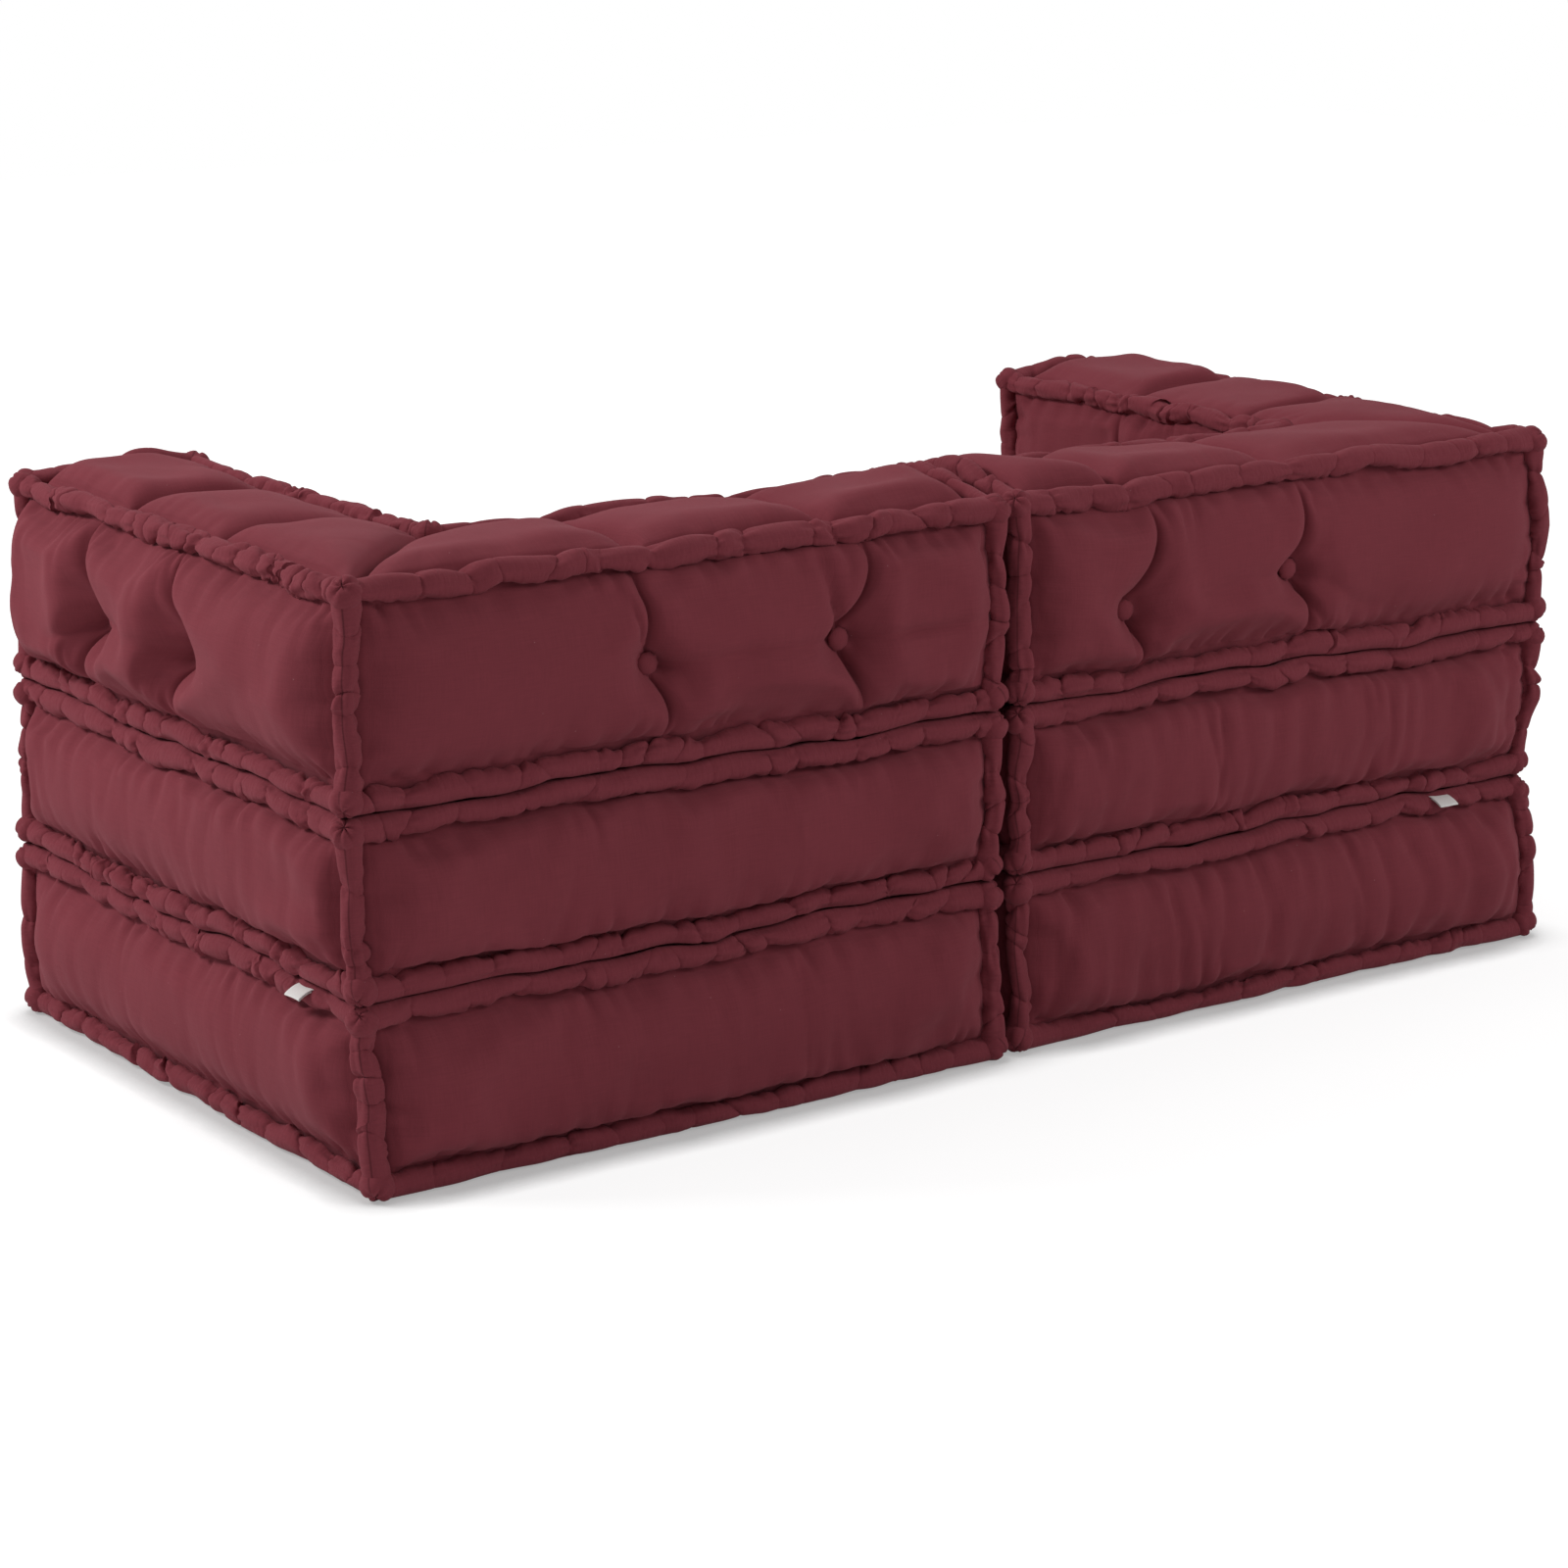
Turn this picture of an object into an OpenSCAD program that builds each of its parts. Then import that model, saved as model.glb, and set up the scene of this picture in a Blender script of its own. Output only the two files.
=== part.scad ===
// Two-seat modular sofa made of two mirrored corner modules.
// Each module stacks a base cushion, a seat cushion and an L-shaped back and arm cushion.
// Millimetres. The sofa faces -Y, its rear is at +Y, and it stands on the plane Z = 0.

/* [Module] */
// Width of one corner module, between the middles of its edge rolls
module_w = 690; // [600:5:800]
// Depth of one corner module, between the middles of its edge rolls
module_d = 660; // [600:5:780]
// Open gap between the two modules, from edge roll to edge roll
module_gap = 10; // [4:1:60]

/* [Stack] */
// Height of a base cushion
base_h = 180; // [150:5:240]
// Height of a seat cushion
seat_h = 170; // [150:5:240]
// Height of a back and arm cushion
back_h = 210; // [180:5:280]
// Thickness of the back and of the arm, between the middles of their edge rolls
back_t = 183; // [160:1:220]

/* [Edge rolls] */
// Radius of the stuffed roll along the edges
roll_r = 14; // [10:0.5:17]
// How much thicker the knob is where rolls meet at a corner
knob_extra = 2; // [1:0.25:3]

/* [Swell] */
// How far an outer side panel swells past the middle of its edge rolls
side_swell = 23; // [18:1:32]
// How far a side panel swells where the two modules meet
joint_swell = 14; // [6:1:15]
// How far the back and arm swell towards the sitter
inner_swell = 18; // [10:1:26]
// How high a free top swells above the middle of its edge rolls
top_crown = 28; // [20:1:34]
// Depth of the creases between the puffs of a top, as a part of its swell
top_crease = 0.6; // [0.2:0.05:0.7]
// Depth of the creases over the side tufts, as a part of the side's swell
side_crease = 0.35; // [0.1:0.05:0.6]

/* [Tufts] */
// Tufts in each row of a base or seat cushion
pouf_tufts = 2; // [1:1:3]
// Depth of a base or seat tuft below the cushion's resting face
pouf_tuft_depth = 17; // [12:1:22]
// Depth of a back or arm tuft below the full swell of its face
back_tuft_depth = 20; // [12:1:26]
// Height of the back and arm tufts above the cushion's underside
back_tuft_h = 95; // [80:1:120]
// Right back, from its corner to the first tuft
right_tuft_corner = 300; // [270:1:340]
// Right back, from its free end to the last tuft
right_tuft_end = 182; // [110:1:220]
// Left back, from its corner to the first tuft
left_tuft_corner = 349; // [270:1:360]
// Left back, from its free end to the last tuft
left_tuft_end = 131; // [110:1:200]
// Both arms, from the corner to the first tuft
arm_tuft_corner = 270; // [250:1:310]
// Both arms, from the front end to the last tuft
arm_tuft_end = 204; // [110:1:230]
// Radius of the dimple that a tuft draws in its panel
dimple_r = 38; // [24:1:50]
// Radius of a button
button_r = 11; // [8:0.5:14]
// Height of a button's dome
button_h = 6; // [4:0.5:8]
// Radius of the tufting twine
twine_r = 1.5; // [1:0.25:2.5]

/* [Filling] */
// Padding between the core and the middles of the edge rolls, on the sides
side_padding = 32; // [26:1:42]
// Padding above and below the core
flat_padding = 32; // [28:1:42]

/* [Labels] */
// Width of a folded label
label_w = 26; // [16:1:36]
// Length of a folded label, from its sewn end to its fold
label_l = 18; // [14:1:18]
// Thickness of the label's tape
label_tape = 0.6; // [0.4:0.1:1]
// Space between the two plies of the label
label_ply_gap = 0.8; // [0.4:0.1:1.2]
// Right label, from the rear corner along the arm side
right_label_at = 87; // [60:1:300]
// Left label, from the rear corner along the back
left_label_at = 117; // [60:1:300]

/* [Hidden] */
$fn = 48;

// Clearance between pieces that fit together in one cushion
fit_gap = 0.3;
// Clearance between a cushion and the one that it rests on
rest_gap = 0.3;
// How far the stuffing stands past a resting face before it is cut flat
flat_cut = 0.5;
// How far a button's seat is sunk below the bottom of its dimple
seat_sink = 1;
// Clearance around a button in its seat
button_clear = 1;
// Space kept beside the back where the seat is pressed flat
foot_margin = 5;
// Length from the inner corner over which the faces there reach their swell
corner_ease = 60;
// Where the label's sewn end lies in the roll, outwards and up from the roll's middle
label_root = 4;
label_lift = 8;
// A length that runs past any cushion, for cuts
past = 60;

// Creases lie this far from the middle of a roll, along the panels on both sides of it
crease = (roll_r + fit_gap) * sqrt(2);
// The panels' vertical corners lie this far from the middles of the rolls
corner_in = crease * 0.62;
knob_r = roll_r + knob_extra;
// A roll's ball in an inner corner is a little thinner than the roll
elbow_r = roll_r - 0.2;
half_gap = module_gap / 2 + roll_r;
half_d = module_d / 2;

base_z = 0;
seat_z = base_z + base_h + rest_gap;
back_z = seat_z + seat_h + rest_gap;

// Shares of one puff at which its surface has points, closer together beside the creases
puff_shares = [0, 0.12, 0.35, 0.65, 0.88];
puff_steps = len(puff_shares);

cloth = [0.44, 0.19, 0.22];
cloth_edge = [0.49, 0.22, 0.25];
filling = [0.86, 0.82, 0.70];
twine_tan = [0.70, 0.60, 0.45];
label_white = [0.93, 0.92, 0.90];

// The value a share t of the way from a to b
function mix(a, b, t) = a + (b - a) * t;

// Points along a run of knots, with puff_shares between each pair
function stations(knots) = [
    for (k = [0:len(knots) - 2]) for (s = puff_shares) mix(knots[k], knots[k + 1], s),
    knots[len(knots) - 1]
];

// Round swell between two creases: 0 at both, 1 half way
function swell(share) = sqrt(max(0, 4 * share * (1 - share)));

// Swell at step i of a run, where depths gives how deep the crease at each knot is
function run_swell(i, depths) =
    let (last = len(depths) - 1, k = min(floor(i / puff_steps), last - 1))
    let (s = i == last * puff_steps ? 1 : puff_shares[i % puff_steps])
    1 - (s < 0.5 ? depths[k] : depths[k + 1]) * (1 - swell(s));

// How strongly the nearest of the tufts draws a point in, from 0 far off to 1 at the tuft
function pull(point, tufts) =
    max([0, for (t = tufts) exp(-pow(norm(point - t) / dimple_r, 2))]);

// Crease depths of a run: full at both ends, and inner at the knots between
function depths(count, inner) = [for (k = [0:count]) k == 0 || k == count ? 1 : inner];

// Middles of the tufts across a base or seat cushion, measured on its panel
function tuft_places(size) = [
    for (k = [1:pouf_tufts]) mix(crease, size - crease, k / (pouf_tufts + 1))
];

// Steps round the edge of a panel grid with ns by nt cells, anticlockwise from above
function rim(ns, nt) = concat(
    [for (i = [0:ns - 1]) [i, 0]],
    [for (j = [0:nt - 1]) [ns, j]],
    [for (i = [ns:-1:1]) [i, nt]],
    [for (j = [nt:-1:1]) [0, j]]
);

// A closed skin from a top grid, a bottom grid and rows of side points between them.
// Grids are lists of ns + 1 rows of nt + 1 points; side rows follow the rim, lowest first.
module skin(ns, nt, top, bottom, rows) {
    edge = rim(ns, nt);
    count = len(edge);
    grid = (ns + 1) * (nt + 1);
    levels = len(rows);
    function at(i, j) = i * (nt + 1) + j;
    function side(level, p) =
        level < 0 ? grid + at(edge[p % count][0], edge[p % count][1]) :
        level == levels ? at(edge[p % count][0], edge[p % count][1]) :
        2 * grid + level * count + p % count;
    polyhedron(
        points = concat(
            [for (row = top) for (point = row) point],
            [for (row = bottom) for (point = row) point],
            [for (row = rows) for (point = row) point]
        ),
        faces = concat(
            [for (i = [0:ns - 1]) for (j = [0:nt - 1]) for (f = [
                [at(i, j), at(i, j + 1), at(i + 1, j + 1)],
                [at(i, j), at(i + 1, j + 1), at(i + 1, j)]
            ]) f],
            [for (i = [0:ns - 1]) for (j = [0:nt - 1]) for (f = [
                [grid + at(i, j), grid + at(i + 1, j + 1), grid + at(i, j + 1)],
                [grid + at(i, j), grid + at(i + 1, j), grid + at(i + 1, j + 1)]
            ]) f],
            [for (v = [-1:levels - 1]) for (p = [0:count - 1]) for (f = [
                [side(v, p), side(v + 1, p), side(v + 1, p + 1)],
                [side(v, p), side(v + 1, p + 1), side(v, p + 1)]
            ]) f]
        ),
        convexity = 6
    );
}

// Shares of a side's height at which it has points, with one row at the share middle
function side_shares(middle) =
    [0, 0.1, 0.25, middle, 0.75, 0.9, 1];

// Stuffed base or seat cushion, solid, from z up to z + h, in its module's own place.
// The module's own place has X from 0 at the meeting side to module_w at the outer side.
module pouf_form(z, h) {
    places_x = tuft_places(module_w);
    places_y = [for (y = tuft_places(module_d)) y - half_d];
    tufts = [for (x = places_x) for (y = places_y) [x, y]];
    xs = stations(concat([module_w - crease], [for (x = [pouf_tufts - 1:-1:0]) places_x[x]], [crease]));
    ys = stations(concat([crease - half_d], places_y, [half_d - crease]));
    n = len(xs) - 1;
    top_depths = depths(pouf_tufts + 1, top_crease);
    side_depths = depths(pouf_tufts + 1, 0);
    // Height of a panel point past the middle of the rolls, capped just past the resting face
    function rise(i, j, cap) =
        let (raised = min(cap, top_crown * run_swell(i, top_depths) * run_swell(j, top_depths)))
        mix(raised, roll_r - pouf_tuft_depth, pull([xs[j], ys[i]], tufts));
    // Outward direction at a rim point, with both parts set at a corner
    function out(i, j) = [j == 0 ? 1 : j == n ? -1 : 0, i == 0 ? -1 : i == n ? 1 : 0];
    function reach(i, j) =
        abs(out(i, j)[0]) + abs(out(i, j)[1]) == 2 ? 0 :
        j == n ? joint_swell * run_swell(i, side_depths) :
        side_swell * run_swell(j == 0 ? i : j, side_depths);
    function rim_shift(i, j, v) =
        abs(out(i, j)[0]) + abs(out(i, j)[1]) == 2 ? crease - corner_in :
        crease + reach(i, j) * swell(v);
    top = z + h - roll_r;
    low = z + roll_r;
    free = z == seat_z;
    skin(
        n, n,
        [for (i = [0:n]) [for (j = [0:n])
            [xs[j], ys[i], top + rise(i, j, free ? top_crown : roll_r + flat_cut)]]],
        [for (i = [0:n]) [for (j = [0:n])
            [xs[j], ys[i], low - rise(i, j, roll_r + flat_cut)]]],
        [for (v = side_shares(0.5)) [for (p = rim(n, n))
            let (d = out(p[0], p[1]), s = rim_shift(p[0], p[1], v))
            [xs[p[1]] + d[0] * s, ys[p[0]] + d[1] * s, mix(low + crease, top - crease, v)]]]
    );
}

// Everything above a pouf's resting face that the cushion on it presses away
module pressed_above(z, all) {
    foot = back_t + max(roll_r, inner_swell) + foot_margin;
    if (all) {
        translate([-past, -half_d - past, z]) cube([module_w + 2 * past, module_d + 2 * past, past]);
    } else {
        translate([module_w - foot, -half_d - past, z]) cube([foot + past, module_d + 2 * past, past]);
        translate([-past, half_d - foot, z]) cube([module_w + 2 * past, foot + past, past]);
    }
}

// Everything below a cushion's resting face
module pressed_below(z) {
    translate([-past, -half_d - past, z - past])
        cube([module_w + 2 * past, module_d + 2 * past, past]);
}

// Stuffed L-shaped back and arm cushion, solid, in its module's own place.
// The run goes from the arm's front end to the corner and along the back to the meeting side.
module back_form(tuft_corner, tuft_end) {
    knots = back_knots(tuft_corner, tuft_end);
    outer = stations([for (k = knots) k[0]]);
    inner = stations([for (k = knots) k[1]]);
    across = stations([0, 1]);
    ns = len(outer) - 1;
    nt = len(across) - 1;
    turn = 3 * puff_steps;
    top_depths = depths(len(knots) - 1, top_crease);
    side_depths = [1, side_crease, side_crease, 1, side_crease, side_crease, 1];
    edge_depths = depths(1, 1);
    tuft_z = back_z + back_tuft_h;
    top = back_z + back_h - roll_r;
    low = back_z + roll_r;
    middle = (tuft_z - low - crease) / (top - low - 2 * crease);
    // The inner side's own run, along the middles of the rolls, so that it ends in the inner corner
    inner_mid = stations([for (k = [0:len(knots) - 1])
        knots[k][1] - [k <= 3 ? crease : 0, k >= 3 ? crease : 0]]);
    function plan(i, j) = mix(outer[i], inner[i], across[j]);
    function rise(i, j) = top_crown * run_swell(i, top_depths) * run_swell(j, edge_depths);
    // Outward direction of the long outer side at step i; the inner side faces the other way
    function face(i) = [i <= turn ? 1 : 0, i >= turn ? 1 : 0];
    function end_face(i) = i == 0 ? [0, -1] : i == ns ? [-1, 0] : [0, 0];
    // How far a side point is drawn in beside a tuft, for a point at place t along its side
    function tuft_pull(i, t, z) =
        pull([t, z], [for (k = i < turn ? [1, 2] : [4, 5])
            [knots[k][0][i < turn ? 1 : 0], tuft_z]]);
    function side_out(i, t, full, v, z) =
        mix(full * run_swell(i, side_depths) * swell(v), full - back_tuft_depth, tuft_pull(i, t, z));
    // The inner side swells only little beside the inner corner
    function eased(i) = min(1, norm(inner_mid[i] - inner_mid[turn]) / corner_ease);
    function outer_point(i, v, z) =
        i == 0 || i == ns || i == turn
            ? outer[i] + (face(i) + end_face(i)) * (crease - corner_in)
            : outer[i] + face(i) * (crease + side_out(i, outer[i][i < turn ? 1 : 0], side_swell, v, z));
    function inner_point(i, v, z) =
        i == 0 || i == ns
            ? inner[i] + (end_face(i) - face(i)) * (crease - corner_in)
            : inner_mid[i] - (i == turn ? [0, 0] : face(i)
                * side_out(i, inner_mid[i][i < turn ? 1 : 0], inner_swell, v, z) * eased(i));
    function end_point(i, j, v) =
        plan(i, j) + end_face(i) * (crease
            + (i == 0 ? side_swell : joint_swell) * run_swell(j, edge_depths) * swell(v));
    function side_point(i, j, v, z) = concat(
        j == 0 ? outer_point(i, v, z) : j == nt ? inner_point(i, v, z) : end_point(i, j, v), [z]);
    skin(
        ns, nt,
        [for (i = [0:ns]) [for (j = [0:nt])
            concat(plan(i, j), [top + rise(i, j)])]],
        [for (i = [0:ns]) [for (j = [0:nt])
            concat(plan(i, j), [low - min(roll_r + flat_cut, rise(i, j))])]],
        [for (v = side_shares(middle)) let (z = mix(low + crease, top - crease, v))
            [for (p = rim(ns, nt)) side_point(p[0], p[1], v, z)]]
    );
}

// Pairs of outer and inner points of the L at its ends, tufts and corner
function back_knots(tuft_corner, tuft_end) =
    let (
        xo = module_w - crease, xi = module_w - back_t + crease,
        yo = half_d - crease, yi = half_d - back_t + crease,
        arm = arm_tuft_ys(), back = back_tuft_xs(tuft_corner, tuft_end)
    ) [
        for (y = [crease - half_d, arm[1], arm[0]]) [[xo, y], [xi, y]],
        [[xo, yo], [xi, yi]],
        for (x = [back[0], back[1], crease]) [[x, yo], [x, yi]]
    ];

// Places of the two tufts along the arm and along the back, nearest the corner first
function arm_tuft_ys() = [half_d - arm_tuft_corner, arm_tuft_end - half_d];
function back_tuft_xs(tuft_corner, tuft_end) = [module_w - tuft_corner, tuft_end];

// Puts its children at each tuft of a base or seat cushion, with Z through the cushion
module at_pouf_tufts() {
    for (x = tuft_places(module_w)) {
        for (y = tuft_places(module_d)) {
            translate([x, y - half_d, 0]) children();
        }
    }
}

// Puts its children at each arm tuft, with Z through the arm from inside to outside
module at_arm_tufts() {
    for (y = arm_tuft_ys()) {
        translate([module_w, y, back_z + back_tuft_h]) rotate([0, 90, 0]) children();
    }
}

// Puts its children at each back tuft, with Z through the back from front to rear
module at_back_tufts(tuft_corner, tuft_end) {
    for (x = back_tuft_xs(tuft_corner, tuft_end)) {
        translate([x, half_d, back_z + back_tuft_h]) rotate([-90, 0, 0]) children();
    }
}

// Heights of the lower and upper button seats of a base or seat cushion
function pouf_seats(z, h) = [
    z + pouf_tuft_depth + seat_sink,
    z + h - pouf_tuft_depth - seat_sink
];

// Places of the inner and outer button seats through the back, from the outer rolls' middle
function back_seats() = [
    -back_t - inner_swell + back_tuft_depth + seat_sink,
    side_swell - back_tuft_depth - seat_sink
];

// Room for one pair of buttons and their twine, between the two seats
module tuft_cut(seats) {
    translate([0, 0, seats[0] - past]) cylinder(r = button_r + button_clear, h = past);
    translate([0, 0, seats[1]]) cylinder(r = button_r + button_clear, h = past);
    twine_hole(seats);
}

// Hole for the twine between two seats
module twine_hole(seats) {
    translate([0, 0, seats[0] - 1])
        cylinder(r = twine_r + fit_gap, h = seats[1] - seats[0] + 2);
}

// Domed cloth button standing on Z = 0
module button() {
    ball_r = (button_r * button_r + button_h * button_h) / (2 * button_h);
    intersection() {
        translate([0, 0, button_h - ball_r]) sphere(r = ball_r);
        cylinder(r = button_r + 1, h = button_h + 1);
    }
}

// One pair of buttons on their seats
module button_pair(seats) {
    translate([0, 0, seats[1] + fit_gap]) button();
    translate([0, 0, seats[0] - fit_gap]) mirror([0, 0, 1]) button();
}

// Twine drawn tight between one pair of buttons
module twine(seats) {
    translate([0, 0, seats[0] - fit_gap])
        cylinder(r = twine_r, h = seats[1] - seats[0] + 2 * fit_gap);
}

// Core block of a base or seat cushion, larger all round by grow
module pouf_block(z, h, grow) {
    inset = side_padding - grow;
    translate([inset, inset - half_d, z + flat_padding - grow])
        cube([module_w - 2 * inset, module_d - 2 * inset, h - 2 * flat_padding + 2 * grow]);
}

// Core block of the L-shaped cushion, larger all round by grow
module back_block(grow) {
    inset = side_padding - grow;
    inner = back_t - inset;
    translate([0, 0, back_z + flat_padding - grow])
        linear_extrude(back_h - 2 * flat_padding + 2 * grow)
            polygon([
                [inset, half_d - inset],
                [inset, half_d - inner],
                [module_w - inner, half_d - inner],
                [module_w - inner, inset - half_d],
                [module_w - inset, inset - half_d],
                [module_w - inset, half_d - inset]
            ]);
}

// Straight stretch of roll between two points
module roll_run(from, to) {
    d = to - from;
    translate(from) rotate([0, acos(d[2] / norm(d)), atan2(d[1], d[0])])
        cylinder(r = roll_r, h = norm(d));
}

// Rolls round the top and bottom edges of a cushion and up its outer corners.
// elbow is the number of the one inner corner, or -1 where there is none.
module edge_rolls(corners, z, h, elbow) {
    count = len(corners);
    low = z + roll_r;
    top = z + h - roll_r;
    for (k = [0:count - 1]) {
        here = corners[k];
        next = corners[(k + 1) % count];
        for (level = [low, top]) {
            roll_run([here[0], here[1], level], [next[0], next[1], level]);
        }
        if (k == elbow) {
            for (level = [low, top]) {
                translate([here[0], here[1], level]) sphere(r = elbow_r);
            }
        } else {
            roll_run([here[0], here[1], low], [here[0], here[1], top]);
            for (level = [z + knob_r, z + h - knob_r]) {
                translate([here[0], here[1], level]) sphere(r = knob_r);
            }
        }
    }
}

// Middles of the rolls round a base or seat cushion
function pouf_corners() = [
    [0, -half_d], [module_w, -half_d], [module_w, half_d], [0, half_d]
];

// Middles of the rolls round the L-shaped cushion, with its inner corner first
function back_corners() = [
    [module_w - back_t, half_d - back_t], [module_w - back_t, -half_d],
    [module_w, -half_d], [module_w, half_d],
    [0, half_d], [0, half_d - back_t]
];

// Folded label lying along X from its sewn end at X = 0, its lower face on Z = 0
module folded_label() {
    bend = label_tape + label_ply_gap / 2;
    translate([0, label_w / 2, 0]) rotate([90, 0, 0]) linear_extrude(label_w) difference() {
        label_outline(bend, 0);
        label_outline(bend, label_tape);
    }
}

// Side view of the label, or of the space between its plies when inset by the tape
module label_outline(bend, inset) {
    translate([inset > 0 ? -1 : 0, inset])
        square([label_l - bend + (inset > 0 ? 1 : 0), 2 * (bend - inset)]);
    translate([label_l - bend, bend]) circle(r = bend - inset);
}

// Slot in the roll that takes the label's sewn end
module label_slot() {
    thick = 2 * label_tape + label_ply_gap;
    translate([-fit_gap, -label_w / 2 - fit_gap, -fit_gap])
        cube([past, label_w + 2 * fit_gap, thick + 2 * fit_gap]);
}

// Puts its children at the right label's sewn end
module at_right_label() {
    translate([module_w + label_root, half_d - right_label_at, label_z()]) children();
}

// Puts its children at the left label's sewn end
module at_left_label() {
    translate([module_w - left_label_at, half_d + label_root, label_z()])
        rotate([0, 0, 90]) children();
}

// Height of a label's lower face
function label_z() = base_z + base_h - roll_r + label_lift;

// Puts its children in the place of the right or of the left module
module on_right() {
    translate([half_gap, 0, 0]) children();
}

module on_left() {
    mirror([1, 0, 0]) translate([half_gap, 0, 0]) children();
}

// Cover of a base or seat cushion; pressed says that its whole top carries another cushion
module pouf_cover(z, h, pressed) {
    color(cloth) difference() {
        pouf_form(z, h);
        pressed_above(z + h, pressed);
        pressed_below(z);
        pouf_block(z, h, fit_gap);
        at_pouf_tufts() tuft_cut(pouf_seats(z, h));
    }
}

module pouf_core(z, h) {
    color(filling) difference() {
        pouf_block(z, h, 0);
        at_pouf_tufts() twine_hole(pouf_seats(z, h));
    }
}

module pouf_edge_roll(z, h) {
    color(cloth_edge) edge_rolls(pouf_corners(), z, h, -1);
}

module pouf_buttons(z, h) {
    color(cloth_edge) at_pouf_tufts() button_pair(pouf_seats(z, h));
}

module pouf_twine(z, h) {
    color(twine_tan) at_pouf_tufts() twine(pouf_seats(z, h));
}

module back_cover(tuft_corner, tuft_end) {
    color(cloth) difference() {
        back_form(tuft_corner, tuft_end);
        pressed_below(back_z);
        back_block(fit_gap);
        at_arm_tufts() tuft_cut(back_seats());
        at_back_tufts(tuft_corner, tuft_end) tuft_cut(back_seats());
    }
}

module back_core(tuft_corner, tuft_end) {
    color(filling) difference() {
        back_block(0);
        at_arm_tufts() twine_hole(back_seats());
        at_back_tufts(tuft_corner, tuft_end) twine_hole(back_seats());
    }
}

module back_edge_roll() {
    color(cloth_edge) edge_rolls(back_corners(), back_z, back_h, 0);
}

module back_buttons(tuft_corner, tuft_end) {
    color(cloth_edge) {
        at_arm_tufts() button_pair(back_seats());
        at_back_tufts(tuft_corner, tuft_end) button_pair(back_seats());
    }
}

module back_twine(tuft_corner, tuft_end) {
    color(twine_tan) {
        at_arm_tufts() twine(back_seats());
        at_back_tufts(tuft_corner, tuft_end) twine(back_seats());
    }
}

// Right base cushion
module right_base_cover() { on_right() pouf_cover(base_z, base_h, true); }
module right_base_edge_roll() {
    on_right() color(cloth_edge) difference() {
        pouf_edge_roll(base_z, base_h);
        at_right_label() label_slot();
    }
}
module right_base_core() { on_right() pouf_core(base_z, base_h); }
module right_base_buttons() { on_right() pouf_buttons(base_z, base_h); }
module right_base_tuft_twine() { on_right() pouf_twine(base_z, base_h); }
module right_label() { on_right() color(label_white) at_right_label() folded_label(); }

// Right seat cushion
module right_seat_cover() { on_right() pouf_cover(seat_z, seat_h, false); }
module right_seat_edge_roll() { on_right() pouf_edge_roll(seat_z, seat_h); }
module right_seat_core() { on_right() pouf_core(seat_z, seat_h); }
module right_seat_buttons() { on_right() pouf_buttons(seat_z, seat_h); }
module right_seat_tuft_twine() { on_right() pouf_twine(seat_z, seat_h); }

// Right back and arm cushion
module right_back_cover() { on_right() back_cover(right_tuft_corner, right_tuft_end); }
module right_back_edge_roll() { on_right() back_edge_roll(); }
module right_back_core() { on_right() back_core(right_tuft_corner, right_tuft_end); }
module right_back_buttons() { on_right() back_buttons(right_tuft_corner, right_tuft_end); }
module right_back_tuft_twine() { on_right() back_twine(right_tuft_corner, right_tuft_end); }

// Left base cushion
module left_base_cover() { on_left() pouf_cover(base_z, base_h, true); }
module left_base_edge_roll() {
    on_left() color(cloth_edge) difference() {
        pouf_edge_roll(base_z, base_h);
        at_left_label() label_slot();
    }
}
module left_base_core() { on_left() pouf_core(base_z, base_h); }
module left_base_buttons() { on_left() pouf_buttons(base_z, base_h); }
module left_base_tuft_twine() { on_left() pouf_twine(base_z, base_h); }
module left_label() { on_left() color(label_white) at_left_label() folded_label(); }

// Left seat cushion
module left_seat_cover() { on_left() pouf_cover(seat_z, seat_h, false); }
module left_seat_edge_roll() { on_left() pouf_edge_roll(seat_z, seat_h); }
module left_seat_core() { on_left() pouf_core(seat_z, seat_h); }
module left_seat_buttons() { on_left() pouf_buttons(seat_z, seat_h); }
module left_seat_tuft_twine() { on_left() pouf_twine(seat_z, seat_h); }

// Left back and arm cushion
module left_back_cover() { on_left() back_cover(left_tuft_corner, left_tuft_end); }
module left_back_edge_roll() { on_left() back_edge_roll(); }
module left_back_core() { on_left() back_core(left_tuft_corner, left_tuft_end); }
module left_back_buttons() { on_left() back_buttons(left_tuft_corner, left_tuft_end); }
module left_back_tuft_twine() { on_left() back_twine(left_tuft_corner, left_tuft_end); }

right_base_cover();
right_base_edge_roll();
right_base_core();
right_base_buttons();
right_base_tuft_twine();
right_label();
right_seat_cover();
right_seat_edge_roll();
right_seat_core();
right_seat_buttons();
right_seat_tuft_twine();
right_back_cover();
right_back_edge_roll();
right_back_core();
right_back_buttons();
right_back_tuft_twine();
left_base_cover();
left_base_edge_roll();
left_base_core();
left_base_buttons();
left_base_tuft_twine();
left_label();
left_seat_cover();
left_seat_edge_roll();
left_seat_core();
left_seat_buttons();
left_seat_tuft_twine();
left_back_cover();
left_back_edge_roll();
left_back_core();
left_back_buttons();
left_back_tuft_twine();
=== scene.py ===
"""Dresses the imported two-seat modular sofa: soft covers, pinched rolls, tufts, labels and a plain studio.

Shapes are worked out in millimetres in a module's own place: X runs from 0 at the side where the
two modules meet to the arm side, Y from the front to the rear, and Z up. place() then settles the
module's pieces together and puts them on the right or the left, in metres.
"""

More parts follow.
